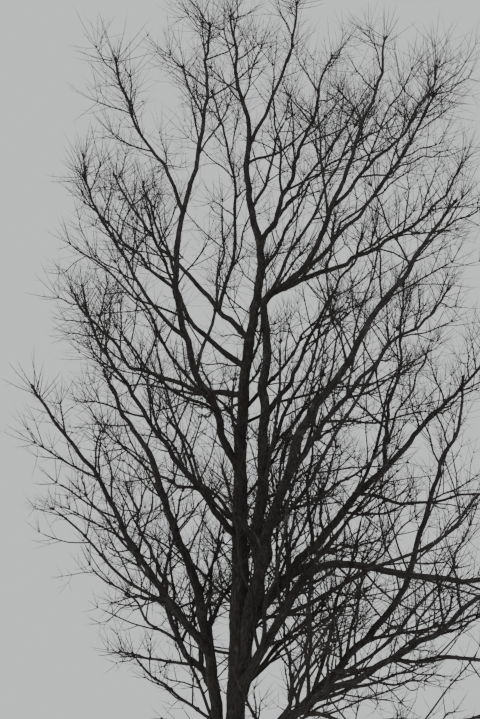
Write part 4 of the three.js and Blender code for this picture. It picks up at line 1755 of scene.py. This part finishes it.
class WINTER_TREE_OT_stage(bpy.types.Operator):
    """Set up the pale floor, the soft lights and the camera at the photograph's viewing angle"""

    bl_idname = "winter_tree.stage"
    bl_label = "Floor, Lights and Camera"

    def execute(self, context):
        settings = context.scene.winter_tree_stage
        bpy.ops.object.select_all(action="DESELECT")
        bpy.ops.mesh.primitive_circle_add(
            vertices=FLOOR_CORNERS, radius=FLOOR_RADIUS, fill_type="NGON"
        )
        floor = context.object
        floor.name = "floor"
        material, _, shader = new_material("Pale floor")
        shader.inputs["Base Color"].default_value = settings.floor_colour
        shader.inputs["Roughness"].default_value = FLOOR_ROUGHNESS
        floor.data.materials.append(material)
        world = bpy.data.worlds.new("Plain background")
        world.use_nodes = True
        background = world.node_tree.nodes["Background"]
        background.inputs["Color"].default_value = settings.sky_colour
        background.inputs["Strength"].default_value = settings.sky_strength
        context.scene.world = world
        add_sun("back light", settings.back_light, *BACK_LIGHT)
        add_sun("fill light", settings.fill_light, *FILL_LIGHT)
        bpy.ops.object.camera_add(location=settings.eye, rotation=(math.pi / 2 + settings.tilt, 0, 0))
        camera = context.object
        camera.data.sensor_width = SENSOR_SIZE
        camera.data.lens = SENSOR_SIZE / 2 / math.tan(settings.view_height / 2)
        camera.data.clip_end = FARTHEST_SEEN
        context.scene.camera = camera
        return {"FINISHED"}


class WINTER_TREE_PT_panel(bpy.types.Panel):
    """The tree's settings and the buttons that make its pieces"""

    bl_label = "Winter Tree"
    bl_idname = "WINTER_TREE_PT_panel"
    bl_space_type = "VIEW_3D"
    bl_region_type = "UI"
    bl_category = "Winter Tree"

    def draw(self, context):
        layout = self.layout
        for group in ("winter_tree_bark", "winter_tree_twigs", "winter_tree_stage"):
            settings = getattr(context.scene, group)
            box = layout.box()
            for name in settings.__annotations__:
                box.prop(settings, name)
        for operator in PIECES:
            layout.operator(operator.bl_idname)


PIECES = (
    WINTER_TREE_OT_limbs,
    WINTER_TREE_OT_branches,
    WINTER_TREE_OT_twigs,
    WINTER_TREE_OT_buds,
    WINTER_TREE_OT_dead_leaves,
    WINTER_TREE_OT_stage,
)
SETTINGS = {
    "winter_tree_bark": BarkSettings,
    "winter_tree_twigs": TwigSettings,
    "winter_tree_stage": StageSettings,
}


def register():
    for name, settings in SETTINGS.items():
        bpy.utils.register_class(settings)
        setattr(bpy.types.Scene, name, bpy.props.PointerProperty(type=settings))
    for operator in PIECES:
        bpy.utils.register_class(operator)
    bpy.utils.register_class(WINTER_TREE_PT_panel)


def unregister():
    bpy.utils.unregister_class(WINTER_TREE_PT_panel)
    for operator in reversed(PIECES):
        bpy.utils.unregister_class(operator)
    for name, settings in reversed(SETTINGS.items()):
        delattr(bpy.types.Scene, name)
        bpy.utils.unregister_class(settings)


def main():
    register()
    bpy.ops.winter_tree.limbs()
    bpy.ops.winter_tree.branches()
    bpy.ops.winter_tree.twigs()
    bpy.ops.winter_tree.buds()
    bpy.ops.winter_tree.dead_leaves()
    bpy.ops.winter_tree.stage()


if __name__ == "__main__":
    main()
